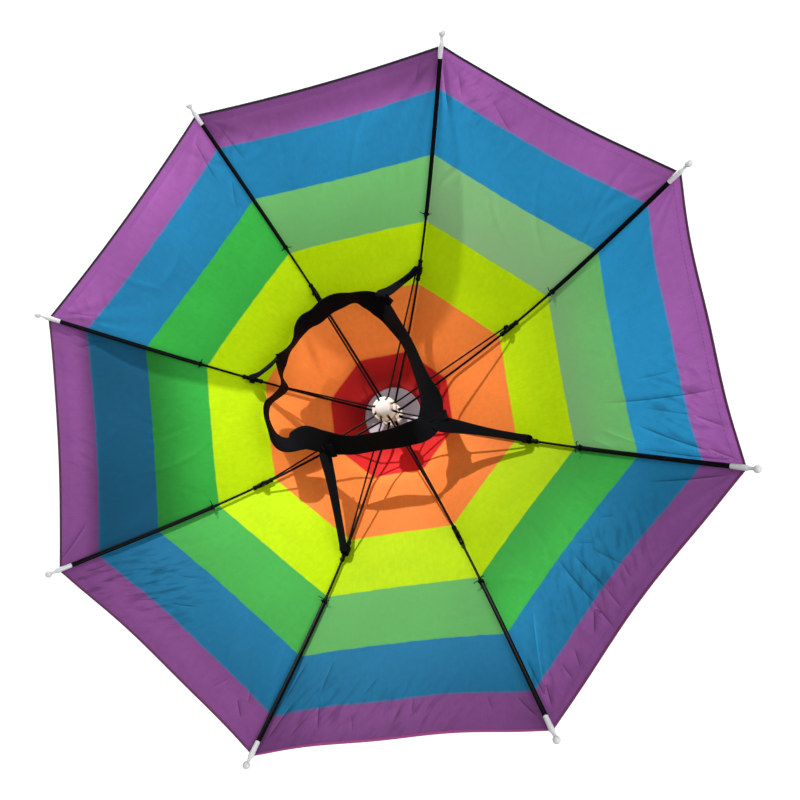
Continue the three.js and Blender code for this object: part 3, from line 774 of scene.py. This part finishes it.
# Rib tips: white plastic sleeves pushed on the rib ends, each with a thin neck and a
# small ball that blunts the wire's end.
plastic = grained_material(
    "white_plastic", paint(244, 242, 243), paint(226, 222, 218), 0.32, 500, 0.4, 0.00002,
    Coat_Weight=0.2, Coat_Roughness=0.15,
)


def unit(vectors):
    """Vectors each made one long."""
    return vectors / np.linalg.norm(vectors, axis=-1, keepdims=True)


def lathed(profile, sides):
    """A profile of (radius, height) rows turned about Z, as points and faces."""
    profile = np.asarray(profile, float)
    turn = np.arange(sides) * 2 * math.pi / sides
    radius, height = profile[:, 0:1], profile[:, 1:2]
    rings = np.stack([radius * np.cos(turn), radius * np.sin(turn), height + 0 * turn], -1)
    return rings, grid_faces(len(profile), sides, False, True, True)


def rounded(rows, steps=4):
    """A profile with each inner corner replaced by a small arc. Rows are (radius, height,
    rounding): the arc starts and ends that far from the corner."""
    rows = [np.array(row, float) for row in rows]
    out = [rows[0][:2]]
    for before, corner, after in zip(rows[:-2], rows[1:-1], rows[2:]):
        back, on = before[:2] - corner[:2], after[:2] - corner[:2]
        size = min(corner[2], np.linalg.norm(back) / 2, np.linalg.norm(on) / 2)
        if size <= 0:
            out.append(corner[:2])
            continue
        start = corner[:2] + unit(back) * size
        end = corner[:2] + unit(on) * size
        for t in np.linspace(0, 1, steps + 1):
            out.append((1 - t) ** 2 * start + 2 * t * (1 - t) * corner[:2] + t**2 * end)
    out.append(rows[-1][:2])
    return np.array(out)


ball_turns = np.radians(np.linspace(-62, 88, 11))
ball_radius = 0.0029
ball_rise = 0.0052 + ball_radius * 0.9
tip_profile = np.concatenate(
    [
        rounded(
            [
                (0.0001, -0.0122, 0), (0.0020, -0.0122, 0.0005), (0.0021, -0.0040, 0.0002),
                (0.0022, -0.0035, 0.0002), (0.0022, 0.0002, 0.0006), (0.0014, 0.0022, 0.0006),
                (0.0012, 0.0050, 0),
            ]
        ),
        np.stack([np.cos(ball_turns), np.sin(ball_turns)], -1) * ball_radius + [0, ball_rise],
    ]
)
tip_lean = math.atan(rib_slope(rim_radius))
tip_place = np.array([rim_radius, 0, rib_height(rim_radius)])
tip_outward = np.array([math.cos(tip_lean), 0, math.sin(tip_lean)])
tip_upward = np.array([-math.sin(tip_lean), 0, math.cos(tip_lean)])
rings, faces = lathed(tip_profile, 28)
points = tip_place + rings @ np.array([sideways, tip_upward, tip_outward])
round_the_ribs("tip_cover", "rib_tip", points, faces, plastic, crease=50)

# Rib joints: a black sleeve crimped on each rib, with an upright ear that takes the
# rivet. The stretcher's flattened eye turns on that rivet, beside the ear.
pin_rise = 0.0046
eye_radius = 0.0026
plate = 0.0012
eye_middle = plate + 0.0003
sleeve_half = 0.0091
pivot_place, pivot_outward, pivot_upward = (part[0] for part in rib_frame([pivot_radius]))
pin = pivot_place + pivot_upward * pin_rise
rivet_steel = grained_material(
    "rivet_steel", paint(58, 57, 60), paint(120, 116, 110), 0.3, 700, 0.5, 0.00002, Metallic=0.9
)


def side_lathe(profile, sides, centre):
    """A profile of (radius, distance along the rivet) rows turned about the rivet."""
    rings, faces = lathed(profile, sides)
    return centre + rings @ np.array([pivot_outward, pivot_upward, sideways]), faces


def joint_parts():
    """Crimped sleeve and ear, in the rib's own plane."""
    radii = np.linspace(pivot_radius - sleeve_half, pivot_radius + sleeve_half, 40)
    place, outward, upward = rib_frame(radii)
    away = np.abs(np.linspace(-9.5, 9.5, 40))
    crimp = 1 - 0.16 * np.exp(-(((away - 6) / 0.9) ** 2)) - 0.2 * smooth(away, 8.9, 9.5)
    side = np.broadcast_to(sideways, place.shape)
    sleeve = tube(place, side, upward, circle_profile(0.0022, 22), crimp)
    ring = circle_profile(1.0, 28)
    outline = np.where(
        ring[:, 1:2] >= 0,
        ring * eye_radius + [0, pin_rise],
        ring * [eye_radius + 0.0008, pin_rise - 0.001] + [0, pin_rise],
    )
    ear_rings = []
    for inset, off in ((0.86, -0.5), (1.0, -0.36), (1.0, 0.36), (0.86, 0.5)):
        shaped = (outline - [0, pin_rise]) * inset + [0, pin_rise]
        ear_ring = pivot_place + shaped @ np.array([pivot_outward, pivot_upward])
        ear_rings.append(ear_ring + off * plate * sideways)
    ear = np.array(ear_rings), grid_faces(4, len(outline), False, True, True)
    return [sleeve, ear]


def rivet_part():
    """The rivet's pin with a domed head at each end."""
    heads = rounded(
        [
            (0.0001, -0.0013, 0), (0.0012, -0.0013, 0.0004), (0.0016, -0.0007, 0.0002),
            (0.0008, -0.0006, 0), (0.0008, 0.0024, 0), (0.0019, 0.0024, 0.0002),
            (0.0016, 0.0031, 0.0004), (0.0001, 0.0033, 0),
        ]
    )
    return side_lathe(heads, 20, pin)


rivet = rivet_part()
points, faces = joined_parts([*joint_parts(), rivet])
slots = [0] * (len(faces) - len(rivet[1])) + [1] * len(rivet[1])
for joint in round_the_ribs("joint", "rib_joint", points, faces, lacquer, crease=40):
    joint.data.materials.append(rivet_steel)
    joint.data.polygons.foreach_set("material_index", slots)

# Stretchers: thin black wires that push the ribs out. Each runs from a slot of the
# runner to its eye on the rivet.
hinge_height = 0.038
slot_inner = 0.0075
stretcher_root = np.array([slot_inner + 0.0003, 0, hinge_height])
stretcher_radius = 0.0008


def stretcher_parts():
    """The straight wire and its flattened eye round the rivet."""
    eye_centre = pin + sideways * eye_middle
    along = unit(eye_centre - stretcher_root)
    end = eye_centre - along * 0.0022
    path = stretcher_root + (end - stretcher_root) * np.linspace(0, 1, 40)[:, None]
    upward = np.broadcast_to(unit(np.cross(sideways, along)), path.shape)
    side = np.cross(upward, along)
    wire = tube(path, side, upward, circle_profile(stretcher_radius, 12))
    ring = circle_profile(1.0, 12) * [0.00075, 0.0006] + [0.00185, 0]
    spoke = circle_profile(1.0, 30) @ np.array([pivot_outward, pivot_upward])
    flat = np.broadcast_to(sideways, spoke.shape)
    eye_path = np.broadcast_to(eye_centre, spoke.shape)
    return [wire, tube(eye_path, spoke, flat, ring, closed=True)]


round_the_ribs("stretcher_wire", "stretcher", *joined_parts(stretcher_parts()), lacquer, crease=50)

# Crown: a moulded cap and a disc that clamp the cloth between them, a post, a notch
# ring that holds the rib roots, and the runner, a domed knob slotted for stretchers.
ivory = grained_material(
    "ivory_plastic", paint(226, 210, 200), paint(204, 186, 172), 0.32, 420, 0.35, 0.00003,
    Coat_Weight=0.3, Coat_Roughness=0.12, Subsurface_Weight=0.08, Subsurface_Scale=0.002,
)
# The disc's plastic is made a darker grey-mauve than the ivory: painted shade for the disc, which lies
# mostly in shadow.
shaded_washer_plastic = grained_material(
    "washer_plastic_painted_shade", paint(192, 176, 186), paint(170, 156, 162), 0.36, 420, 0.35, 0.00003,
    Coat_Weight=0.2,
)
cap_profile = rounded(
    [
        (0.0001, 0, 0), (0.0240, 0, 0.0025), (0.0280, 0.0021, 0.0008), (0.0280, 0.0030, 0.0003),
        (0.0001, 0.0030, 0),
    ],
    6,
)
disc_profile = rounded(
    [
        (0.0035, 0.0048, 0.0002), (0.0280, 0.0048, 0.0004), (0.0280, 0.0056, 0.0005),
        (0.0266, 0.0064, 0.0004), (0.0255, 0.0061, 0.0003), (0.0150, 0.0061, 0.0003),
        (0.0140, 0.0065, 0.0003), (0.0035, 0.0065, 0.0002), (0.0035, 0.0048, 0),
    ]
)
post_profile = rounded(
    [(0.0001, 0.0033, 0), (0.0032, 0.0033, 0.0003), (0.0032, 0.0397, 0.0003), (0.0001, 0.0397, 0)]
)
for name, profile, finish, node in (
    ("crown_button", cap_profile, ivory, "crown_cap"),
    ("crown_washer", disc_profile, shaded_washer_plastic, "crown_disc"),
    ("centre_post", post_profile, ivory, "crown_post"),
):
    rings, faces = lathed(profile, 96)
    finished(mesh_piece(name, rings, faces, finish, crease=50), node)


def slotted(profile, width, floor, inner):
    """A turned body with eight open-top slots. Each ring is split into eight petals and
    eight slots; above the floor a slot's points are drawn in to the inner radius."""
    petal, gap = 14, 4
    rings = []
    for radius, height in profile:
        levels = [False]
        if abs(height - floor) < 1e-6:
            levels = [False, True]
        elif height > floor:
            levels = [True]
        for cut in levels:
            slot_radius = min(radius, inner) if cut else radius
            open_half = math.asin(min(0.9, width / 2 / max(radius, inner)))
            slot_half = math.asin(min(0.9, width / 2 / max(slot_radius, inner)))
            angles, radii = [], []
            for number in range(rib_count):
                middle = rib_azimuth(number)
                angles.append(middle + np.linspace(-slot_half, slot_half, gap))
                radii.append(np.full(gap, slot_radius))
                angles.append(middle + np.linspace(open_half, rib_step - open_half, petal))
                radii.append(np.full(petal, radius))
            angles, radii = np.concatenate(angles), np.concatenate(radii)
            rings.append(np.stack([radii * np.cos(angles), radii * np.sin(angles), height + 0 * angles], -1))
    rings = np.array(rings)
    return rings, grid_faces(len(rings), rings.shape[1], False, True, True)


dome_turns = np.radians(np.linspace(8, 89, 16))
dome_radius = 0.0090
dome_height = 0.0069
dome = np.stack([dome_radius * np.cos(dome_turns), 0.0421 + dome_height * np.sin(dome_turns)], -1)
runner_floor = 0.0369
runner_profile = np.concatenate(
    [
        rounded(
            [(0.0035, 0.0310, 0), (0.0098, 0.0310, 0.0006), (0.0108, 0.0330, 0.0008), (0.0108, 0.0360, 0)]
        ),
        [[0.0112, runner_floor]],
        rounded(
            [(0.0116, 0.0378, 0), (0.0118, 0.0412, 0.0010), (0.0108, 0.0424, 0.0008), (0.0100, 0.0427, 0)]
        ),
        dome,
    ]
)
rings, faces = slotted(runner_profile, 0.0022, runner_floor, slot_inner)
finished(mesh_piece("runner_knob", rings, faces, ivory, crease=38), "runner")
notch_floor = 0.0080
notch_profile = np.concatenate(
    [
        rounded([(0.0035, 0.0067, 0), (0.0108, 0.0067, 0.0004), (0.0110, 0.0078, 0)]),
        [[0.0110, notch_floor]],
        rounded(
            [(0.0110, 0.0084, 0), (0.0110, 0.0127, 0.0010), (0.0060, 0.0127, 0.0004), (0.0036, 0.0120, 0)]
        ),
    ]
)
rings, faces = slotted(notch_profile, 0.0030, notch_floor, slot_inner)
finished(mesh_piece("notch_ring", rings, faces, ivory, crease=38), "top_notch")

# Hem: the cloth's edge rolled over an overlock thread that runs right round from rib
# tip to rib tip. Painted shade makes it near black on the upper gores, turning to plum
# on the lowest one.
def lengths_along(path):
    """The length run at each point of a path."""
    return np.concatenate([[0], np.cumsum(np.linalg.norm(np.diff(path, axis=0), axis=1))])


def woven_finish(tree, shader, factor, first, second, warp, weft, slub, bump):
    """Two colours mixed by a factor, then shaded and raised thread by thread."""
    strands = place_group(
        tree, weave, Cloth=cloth_place(tree), Warp_Pitch=warp, Weft_Pitch=weft, Slub=slub
    )
    colour = dimmed(tree, tinted(tree, factor, first, second), strands["Shade"])
    tree.links.new(colour, shader.inputs["Base Color"])
    add_bump(tree, shader, strands["Height"], bump)


hem_material, hem_tree, hem_shader = new_material(
    "hem_thread", 0.6, Sheen_Weight=0.2, Sheen_Roughness=0.4
)
hem_shade_mix = attribute(hem_tree, "thread")["Fac"]
woven_finish(
    hem_tree, hem_shader, hem_shade_mix, paint(176, 62, 140), paint(24, 12, 20), 0.0008, 0.0016, 0.3, 0.0002
)

hem_columns = 60
hem_sides = 10
hem_section = circle_profile(1.0, hem_sides) * [0.0010, 0.0008]
order = -np.linspace(-1, 1, hem_columns + 1)[:-1]
# How much painted shade darkens the hem on each gore, from plum at 0 to near black at 1.
hem_painted_shade = {1: 1.0, 2: 0.75, 3: 0.5, 4: 0.0, 5: 0.6, 6: 0.8, 7: 1.0, 8: 1.0}
hem_rings, hem_shade_rows = [], []
for gore in gores:
    edge = cloth_point(gore, order, np.full(hem_columns, rim_radius))
    inner = cloth_point(gore, order, np.full(hem_columns, rim_radius - 0.004))
    outward = unit(edge - inner)
    along = np.stack([-edge[:, 1], edge[:, 0], 0 * edge[:, 0]], -1)
    upward = unit(np.cross(outward, along))
    upward *= np.sign(upward[:, 2:3])
    hem_rings.append(carried(edge, outward, upward, hem_section))
    own = hem_painted_shade[gore]
    to_next = (hem_painted_shade[gore % rib_count + 1] - own) / 2
    to_last = (hem_painted_shade[(gore - 2) % rib_count + 1] - own) / 2
    hem_shade_here = own + to_last * smooth(order, 0.9, 1) + to_next * smooth(-order, 0.9, 1)
    hem_shade_rows.append(np.repeat(hem_shade_here, hem_sides))
hem_rings = np.concatenate(hem_rings)
hem_uvs = np.stack(
    np.broadcast_arrays(lengths_along(hem_rings[:, 0])[:, None], np.arange(hem_sides)[None, :] * 0.0007), -1
)
hem_faces = grid_faces(len(hem_rings), hem_sides, True, True)
hem = mesh_piece("hem_edge", hem_rings, hem_faces, hem_material, hem_uvs)
# The hem's painted shade goes in its thread attribute.
hem_layer = hem.data.attributes.new("thread", "FLOAT", "POINT")
hem_layer.data.foreach_set("value", np.concatenate(hem_shade_rows).astype(np.float32))
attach(hem, "root")

# Head band: a loop of flat black elastic, woven with lengthwise ribs, that has
# slackened and lies twisted on the stretchers.
band_width = 0.022
band_wall = 0.0017
# Rows round the band: its place as shares of the pivots' circle, the lean of its width
# in degrees, and how far it is held off the stretchers, as a share of its width.
band_table = np.array(
    [
        [-0.390, 0.695, 6, 0], [-0.305, 0.702, 28, 0], [-0.211, 0.687, 52, 0],
        [-0.110, 0.628, 42, 0], [-0.014, 0.538, 32, 0], [0.080, 0.437, 30, 0],
        [0.170, 0.320, 34, 0.05], [0.265, 0.197, 46, 0.2], [0.337, 0.091, 78, 0.4],
        [0.342, -0.064, 96, 0.45], [0.234, -0.148, 124, 0.4], [0.074, -0.229, 142, 0.35],
        [-0.122, -0.306, 138, 0.35], [-0.315, -0.325, 120, 0.4], [-0.470, -0.329, 98, 0.4],
        [-0.577, -0.397, 50, 0.2], [-0.683, -0.349, 2, 0.05], [-0.760, -0.265, -9, 0],
        [-0.786, -0.176, -10, 0], [-0.747, -0.094, -8, 0], [-0.713, -0.013, -4, 0],
        [-0.762, 0.064, -12, 0], [-0.779, 0.155, 4, 0], [-0.745, 0.247, -14, 0],
        [-0.716, 0.322, -12, 0], [-0.698, 0.399, 6, 0], [-0.666, 0.472, 18, 0],
        [-0.608, 0.524, 20, 0], [-0.559, 0.592, 22, 0], [-0.484, 0.653, 20, 0],
    ]
)
elastic, elastic_tree, elastic_shader = new_material(
    "woven_elastic", 0.8, Specular_IOR_Level=0.07, Sheen_Weight=0.008, Sheen_Roughness=0.4
)
elastic_fluff = noise(elastic_tree, cloth_place(elastic_tree), 300, 5.0)
elastic_lint = rescaled(elastic_tree, elastic_fluff, 0.66, 0.85, 0.0, 0.2)
woven_finish(
    elastic_tree, elastic_shader, elastic_lint, paint(6, 6, 8), paint(44, 43, 42), 0.0016, 0.0011, 0.5,
    0.00035,
)


def spline(rows, places, closed):
    """Catmull-Rom curve through rows: at each place, counted in rows, a cubic blend of
    the four nearest rows."""
    rows = np.asarray(rows, float)
    count = len(rows)
    whole = np.floor(places).astype(int)
    if not closed:
        whole = np.clip(whole, 0, count - 2)
    t = (places - whole)[:, None]
    pick = [whole + step for step in (-1, 0, 1, 2)]
    if closed:
        a, b, c, d = (rows[index % count] for index in pick)
    else:
        padded = np.concatenate([[2 * rows[0] - rows[1]], rows, [2 * rows[-1] - rows[-2]]])
        a, b, c, d = (padded[np.clip(index + 1, 0, count + 1)] for index in pick)
    curve = 2 * b + (c - a) * t + (2 * a - 5 * b + 4 * c - d) * t**2 + (3 * b - a - 3 * c + d) * t**3
    return curve / 2


def stretcher_top(radius):
    """Height of a stretcher's upper side at a radius."""
    share = (radius - stretcher_root[0]) / (pin[0] - stretcher_root[0])
    return hinge_height + (pin[2] - hinge_height) * share + stretcher_radius


up = np.array([0.0, 0.0, 1.0])


def band_frame(places):
    """Middle line, across and face directions of the band. It rests on the stretchers
    on its lower edge or face, whichever its lean brings down."""
    row = spline(band_table, places, True)
    ahead = spline(band_table, places + 0.01, True)
    back = spline(band_table, places - 0.01, True)
    x, y, lean = row[:, 0] * pivot_radius, row[:, 1] * pivot_radius, np.radians(row[:, 2])
    depth = (band_width * np.abs(np.cos(lean)) + band_wall * np.abs(np.sin(lean))) / 2
    lift = 0.0003 + band_width * np.maximum(row[:, 3], 0)
    middle = np.stack([x, y, stretcher_top(np.hypot(x, y)) + lift + depth], -1)
    forward = unit((ahead - back)[:, :3] * [1, 1, 0])
    outward = np.cross(up, forward)
    across = up * np.cos(lean)[:, None] + outward * np.sin(lean)[:, None]
    return middle, across, np.cross(forward, across)


def flat_profile(width, wall, sides=24, power=0.28):
    """Rows of (across, up) round a flat strip with soft edges: a squared ellipse."""
    turn = (np.arange(sides) + 0.5) * 2 * math.pi / sides
    ring = np.stack([np.cos(turn), np.sin(turn)], -1)
    return np.sign(ring) * np.abs(ring) ** power * [width / 2, wall / 2]


def ribbon_uvs(rings):
    """Metres across and along a strip, one row for each point of its rings."""
    around = np.linalg.norm(rings - rings[:, :1], axis=2)
    return np.stack(np.broadcast_arrays(around, lengths_along(rings.mean(1))[:, None]), -1)


band_steps = 464
band_places = np.arange(band_steps) * len(band_table) / band_steps
middle, across, face = band_frame(band_places)
dice = np.random.default_rng(7)
band_turn = 2 * math.pi * band_places / len(band_table)
wander = sum(
    dice.uniform(0.3, 1.0) * np.sin(band_turn * wave + dice.uniform(0, 6)) for wave in (5, 9, 13, 21)
)
middle = middle + face * (0.0004 * wander)[:, None]
band_rings = carried(middle, across, face, flat_profile(band_width, band_wall))
cup = ((band_rings - middle[:, None]) * across[:, None]).sum(-1) / (band_width / 2)
cup_depth = 0.0011 * np.sin(band_turn * 3 + 1.0)
band_rings = band_rings + face[:, None] * (cup_depth[:, None] * (cup**2 - 0.4))[..., None]
band = mesh_piece(
    "elastic_band", band_rings, grid_faces(band_steps, band_rings.shape[1], True, True), elastic,
    ribbon_uvs(band_rings), crease=60,
)
finished(band, "head_band")

# Straps: four lengths of the same elastic. Each is sewn flat to the band, narrows as
# it is pulled, and is looped round a rib joint and stitched back on itself.
strap_wall = 0.0012
strap_sag = up * 0.0012
# Rows: joint, place round the band, widths at the band and at the joint, overlap on the
# band, and how far along the band the sewn end slants, all but the first two in metres.
strap_table = (
    (1, 2.1, 0.013, 0.0066, 0.0030, 0.012),
    (3, 8.7, 0.017, 0.0066, 0.0065, -0.009),
    (5, 12.9, 0.013, 0.0070, 0.0050, -0.009),
    (7, 22.0, 0.008, 0.0052, 0.0035, 0.004),
)
for number, place, start_width, end_width, overlap, slant in strap_table:
    middle, away, face = (part[0] for part in band_frame(np.array([place])))
    onward = np.cross(away, face) * slant
    over = face * (band_wall / 2 + strap_wall / 2 + 0.0001)
    azimuth = rib_azimuth(number)
    radial = np.array([math.cos(azimuth), math.sin(azimuth), 0])
    seat = radial * pin[0] + up * (pin[2] + eye_radius + 0.0003 + strap_wall / 2)
    rim = middle + away * (band_width / 2) + over
    landing = seat + unit((rim - seat) * [1, 1, 0]) * 0.007
    path_rows = [
        middle + away * (band_width / 2 - overlap) + onward + over,
        middle + away * (band_width / 2 - overlap / 2) + onward * 0.4 + over,
        rim + away * 0.0012,
        rim + (landing - rim) * 0.30 - strap_sag,
        rim + (landing - rim) * 0.68 - strap_sag,
        landing,
        seat + radial * 0.0015,
    ]
    share = np.linspace(0, 1, 90)
    path = spline(path_rows, share * (len(path_rows) - 1), False)
    forward = unit(np.gradient(path, axis=0))
    across_band = np.cross(face, away)
    across_rib = np.cross(radial, up)
    across_rib = across_rib * np.sign(across_rib @ across_band)
    mix = smooth(share, 0.3, 0.85)[:, None]
    side = across_band * (1 - mix) + across_rib * mix
    side = unit(side - forward * (side * forward).sum(1)[:, None])
    upward = np.cross(side, forward)
    upward *= np.sign((upward * (face * (1 - mix) + up * mix)).sum(1))[:, None]
    width = end_width + (start_width - end_width) * (1 - smooth(share, 0.18, 0.75))
    rings = carried(path, side * width[:, None], upward, flat_profile(1.0, strap_wall))
    strap_part = rings, grid_faces(len(rings), rings.shape[1], False, True, True)
    loop_turn = np.linspace(0, 2 * math.pi, 48, endpoint=False)[:, None]
    low, high = -0.0026, pin_rise + eye_radius + 0.0010
    loop_across = 0.0005 + 0.0034 * np.sign(np.sin(loop_turn)) * np.abs(np.sin(loop_turn)) ** 0.75
    loop_up = (high + low) / 2 + (high - low) / 2 * np.cos(loop_turn)
    loop_path = pivot_place + sideways * loop_across + pivot_upward * loop_up
    out = unit(np.cross(np.gradient(loop_path, axis=0), pivot_outward))
    loop_side = np.broadcast_to(pivot_outward, out.shape)
    loop_rings = carried(loop_path, loop_side, out, flat_profile(end_width, 0.0009, 16))
    loop_rings = turn_about_z(loop_rings, azimuth)
    loop_part = loop_rings, grid_faces(len(loop_rings), loop_rings.shape[1], True, True)
    points, faces = joined_parts([strap_part, loop_part])
    uvs = np.concatenate([ribbon_uvs(rings).reshape(-1, 2), ribbon_uvs(loop_rings).reshape(-1, 2)])
    strap = mesh_piece(f"strap_{number}", points, faces, elastic, uvs, crease=60)
    finished(strap, f"band_strap_{number}")

# Thread ties: black thread wound round each rib at the yellow band's outer edge and
# knotted, to hold the seam of the cloth to the rib. Two cut tails stick up.
thread = grained_material(
    "black_thread", paint(9, 9, 10), paint(36, 35, 34), 0.8, 2500, 0.4, 0.00008,
    Specular_IOR_Level=0.15,
)
tie_place, tie_outward, tie_upward = (part[0] for part in rib_frame([tie_radius]))
tie_axes = np.array([sideways, tie_upward, tie_outward])


def by_tie(aside, rise, onward):
    """Points so far aside from the tie's middle, above it and along the rib."""
    return tie_place + np.stack([aside, rise, onward], -1) @ tie_axes


def loose_tube(path, radius, sides=8, closed=False):
    """A round tube along any path, with across directions kept from twisting much."""
    forward = np.gradient(path, axis=0)
    if closed:
        forward = np.roll(path, -1, 0) - np.roll(path, 1, 0)
    forward = unit(forward)
    across = unit(np.cross(forward, [0.31, 0.2, 0.93]))
    return tube(path, across, np.cross(across, forward), circle_profile(radius, sides), closed=closed)


coil_turns = 4
wind = np.linspace(0, 2 * math.pi * coil_turns, 130)
coil_run = np.linspace(-0.0011, 0.0011, 130)
coil = loose_tube(by_tie(0.0021 * np.cos(wind), 0.0024 * np.sin(wind) - 0.0007, coil_run), 0.00034)
turn = np.linspace(0, 2 * math.pi, 60, endpoint=False)
knot_thread = 0.0004
for number in range(1, rib_count + 1):
    dice = np.random.default_rng(90 + number)
    knot_side = dice.choice([-1, 1])
    knot = by_tie(
        knot_side * 0.0008 + 0.0011 * (np.sin(turn) + 0.6 * np.sin(2 * turn)),
        0.0022 - 0.0005 * np.sin(3 * turn),
        0.0011 * (np.cos(turn) - 0.6 * np.cos(2 * turn)),
    )
    parts = [coil, loose_tube(knot, knot_thread, closed=True)]
    for tail in (-1, 1):
        length = dice.uniform(0.0042, 0.0062)
        lean = dice.uniform(-0.5, 0.5)
        run = np.linspace(0, 1, 16)
        rise = 0.0024 + 0.0022 * np.sin(run * dice.uniform(2.0, 3.4))
        reach = run * length
        tail_path = by_tie(reach * tail * math.cos(lean), rise, reach * math.sin(lean))
        parts.append(loose_tube(tail_path, knot_thread, 6))
    points, faces = joined_parts(parts)
    points = turn_about_z(points, rib_azimuth(number))
    tie = mesh_piece(f"thread_tie_{number}", points, faces, thread, crease=60)
    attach(tie, "root")

# Stitches: short plum threads, one row a hem's width in from the edge of each gore.
stitch_pitch = 0.0032
stitch_cover = 0.68
stitch_bow = 0.00012
row_radius = rim_radius - hem_width + 0.0012
count = int(2 * row_radius * math.sin(half_step) / stitch_pitch)
centres = (np.arange(count) + 0.5) * 2 / count - 1
stitch_run = np.linspace(-1, 1, 5)
shares = centres[:, None] + stitch_run[None, :] * stitch_cover / count
lift = np.broadcast_to(hem_fold_height + stitch_bow * (1 - stitch_run**2), shares.shape)
ring = circle_profile(0.00011, 4)
quads = np.array(grid_faces(5, 4, False, True))
faces = (quads[None] + np.arange(count)[:, None, None] * 20).reshape(-1, 4).tolist()
stitch_parts = []
for gore in gores:
    path = cloth_point(gore, shares, np.full(shares.shape, row_radius), lift)
    forward = unit(np.gradient(path, axis=1))
    side = unit(np.cross(forward, up))
    upward = np.cross(side, forward)
    rings = path[:, :, None] + side[:, :, None] * ring[:, 0:1] + upward[:, :, None] * ring[:, 1:2]
    stitch_parts.append((rings, faces))
points, faces = joined_parts(stitch_parts)
plum_thread = grained_material(
    "plum_thread", paint(150, 88, 154), paint(160, 104, 162), 0.8, 2500, 0.4, 0.00008,
    Specular_IOR_Level=0.15,
)
stitches = mesh_piece("hem_stitches", points, faces, plum_thread, crease=60)
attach(stitches, "root")

# The studio: a plain pale floor under the hat, a hard key light from the upper left, a
# broad weak one from the right, a low one behind the upper gores and a pale surround.
floor_material, floor_tree, floor_shader = new_material("pale_floor", 0.7)
floor_place = floor_tree.nodes.new("ShaderNodeTexCoord").outputs["Object"]
floor_mottle = rescaled(floor_tree, noise(floor_tree, floor_place, 3, 2.0), 0.3, 0.7, 0.0, 1.0)
floor_white = tinted(floor_tree, floor_mottle, paint(250, 250, 250), paint(253, 253, 253))
floor_tree.links.new(floor_white, floor_shader.inputs["Base Color"])
seen_directly = floor_tree.nodes.new("ShaderNodeLightPath").outputs["Is Camera Ray"]
floor_glow = calc(floor_tree, "MULTIPLY", seen_directly, 0.85)
floor_tree.links.new(floor_white, floor_shader.inputs["Emission Color"])
floor_tree.links.new(floor_glow, floor_shader.inputs["Emission Strength"])
floor_half = 4.0
floor_points = np.array([[-1, -1, 0], [1, -1, 0], [1, 1, 0], [-1, 1, 0]]) * [floor_half, floor_half, 1]
floor = mesh_piece("floor", floor_points, [[0, 1, 2, 3]], floor_material)
floor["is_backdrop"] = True


def soft_light(name, azimuth, elevation, distance, size, power, aim=(0, 0, 0.02), kind="AREA"):
    """A lamp of a size that faces the aim from a direction and distance."""
    data = bpy.data.lights.new(name, kind)
    if kind == "AREA":
        data.shape = "SQUARE"
        data.size = size
    else:
        data.shadow_soft_size = size / 2
    data.energy = power
    lamp = bpy.data.objects.new(name, data)
    turn, climb = math.radians(azimuth), math.radians(elevation)
    back = np.array([math.cos(turn) * math.cos(climb), math.sin(turn) * math.cos(climb), math.sin(climb)])
    right = unit(np.cross(up, back))
    axes = np.eye(4)
    axes[:3] = np.column_stack([right, np.cross(back, right), back, np.array(aim) + back * distance])
    lamp.matrix_world = Matrix(axes.tolist())
    lamp.visible_camera = False
    bpy.context.scene.collection.objects.link(lamp)
    return lamp


key = soft_light("key", 126, 30, 2.6, 0.05, 490, aim=(-0.08, 0.03, 0.02), kind="SPOT")
key.data.spot_size = math.radians(13.2)
key.data.spot_blend = 1.0
side = soft_light("side", 10, 42, 2.4, 1.4, 24)
back = soft_light("back", 118, 3, 0.85, 0.9, 11)
back.data.shape = "RECTANGLE"
back.data.size_y = 0.08
lit_pieces = bpy.data.collections.new("lit_pieces")
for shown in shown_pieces():
    lit_pieces.objects.link(shown)
for lamp in (key, side, back):
    lamp.light_linking.receiver_collection = lit_pieces
world = bpy.data.worlds.new("surround")
bpy.context.scene.world = world
world.use_nodes = True
world.node_tree.nodes["Background"].inputs["Color"].default_value = (0.93, 0.97, 1.0, 1)
world.node_tree.nodes["Background"].inputs["Strength"].default_value = 0.47
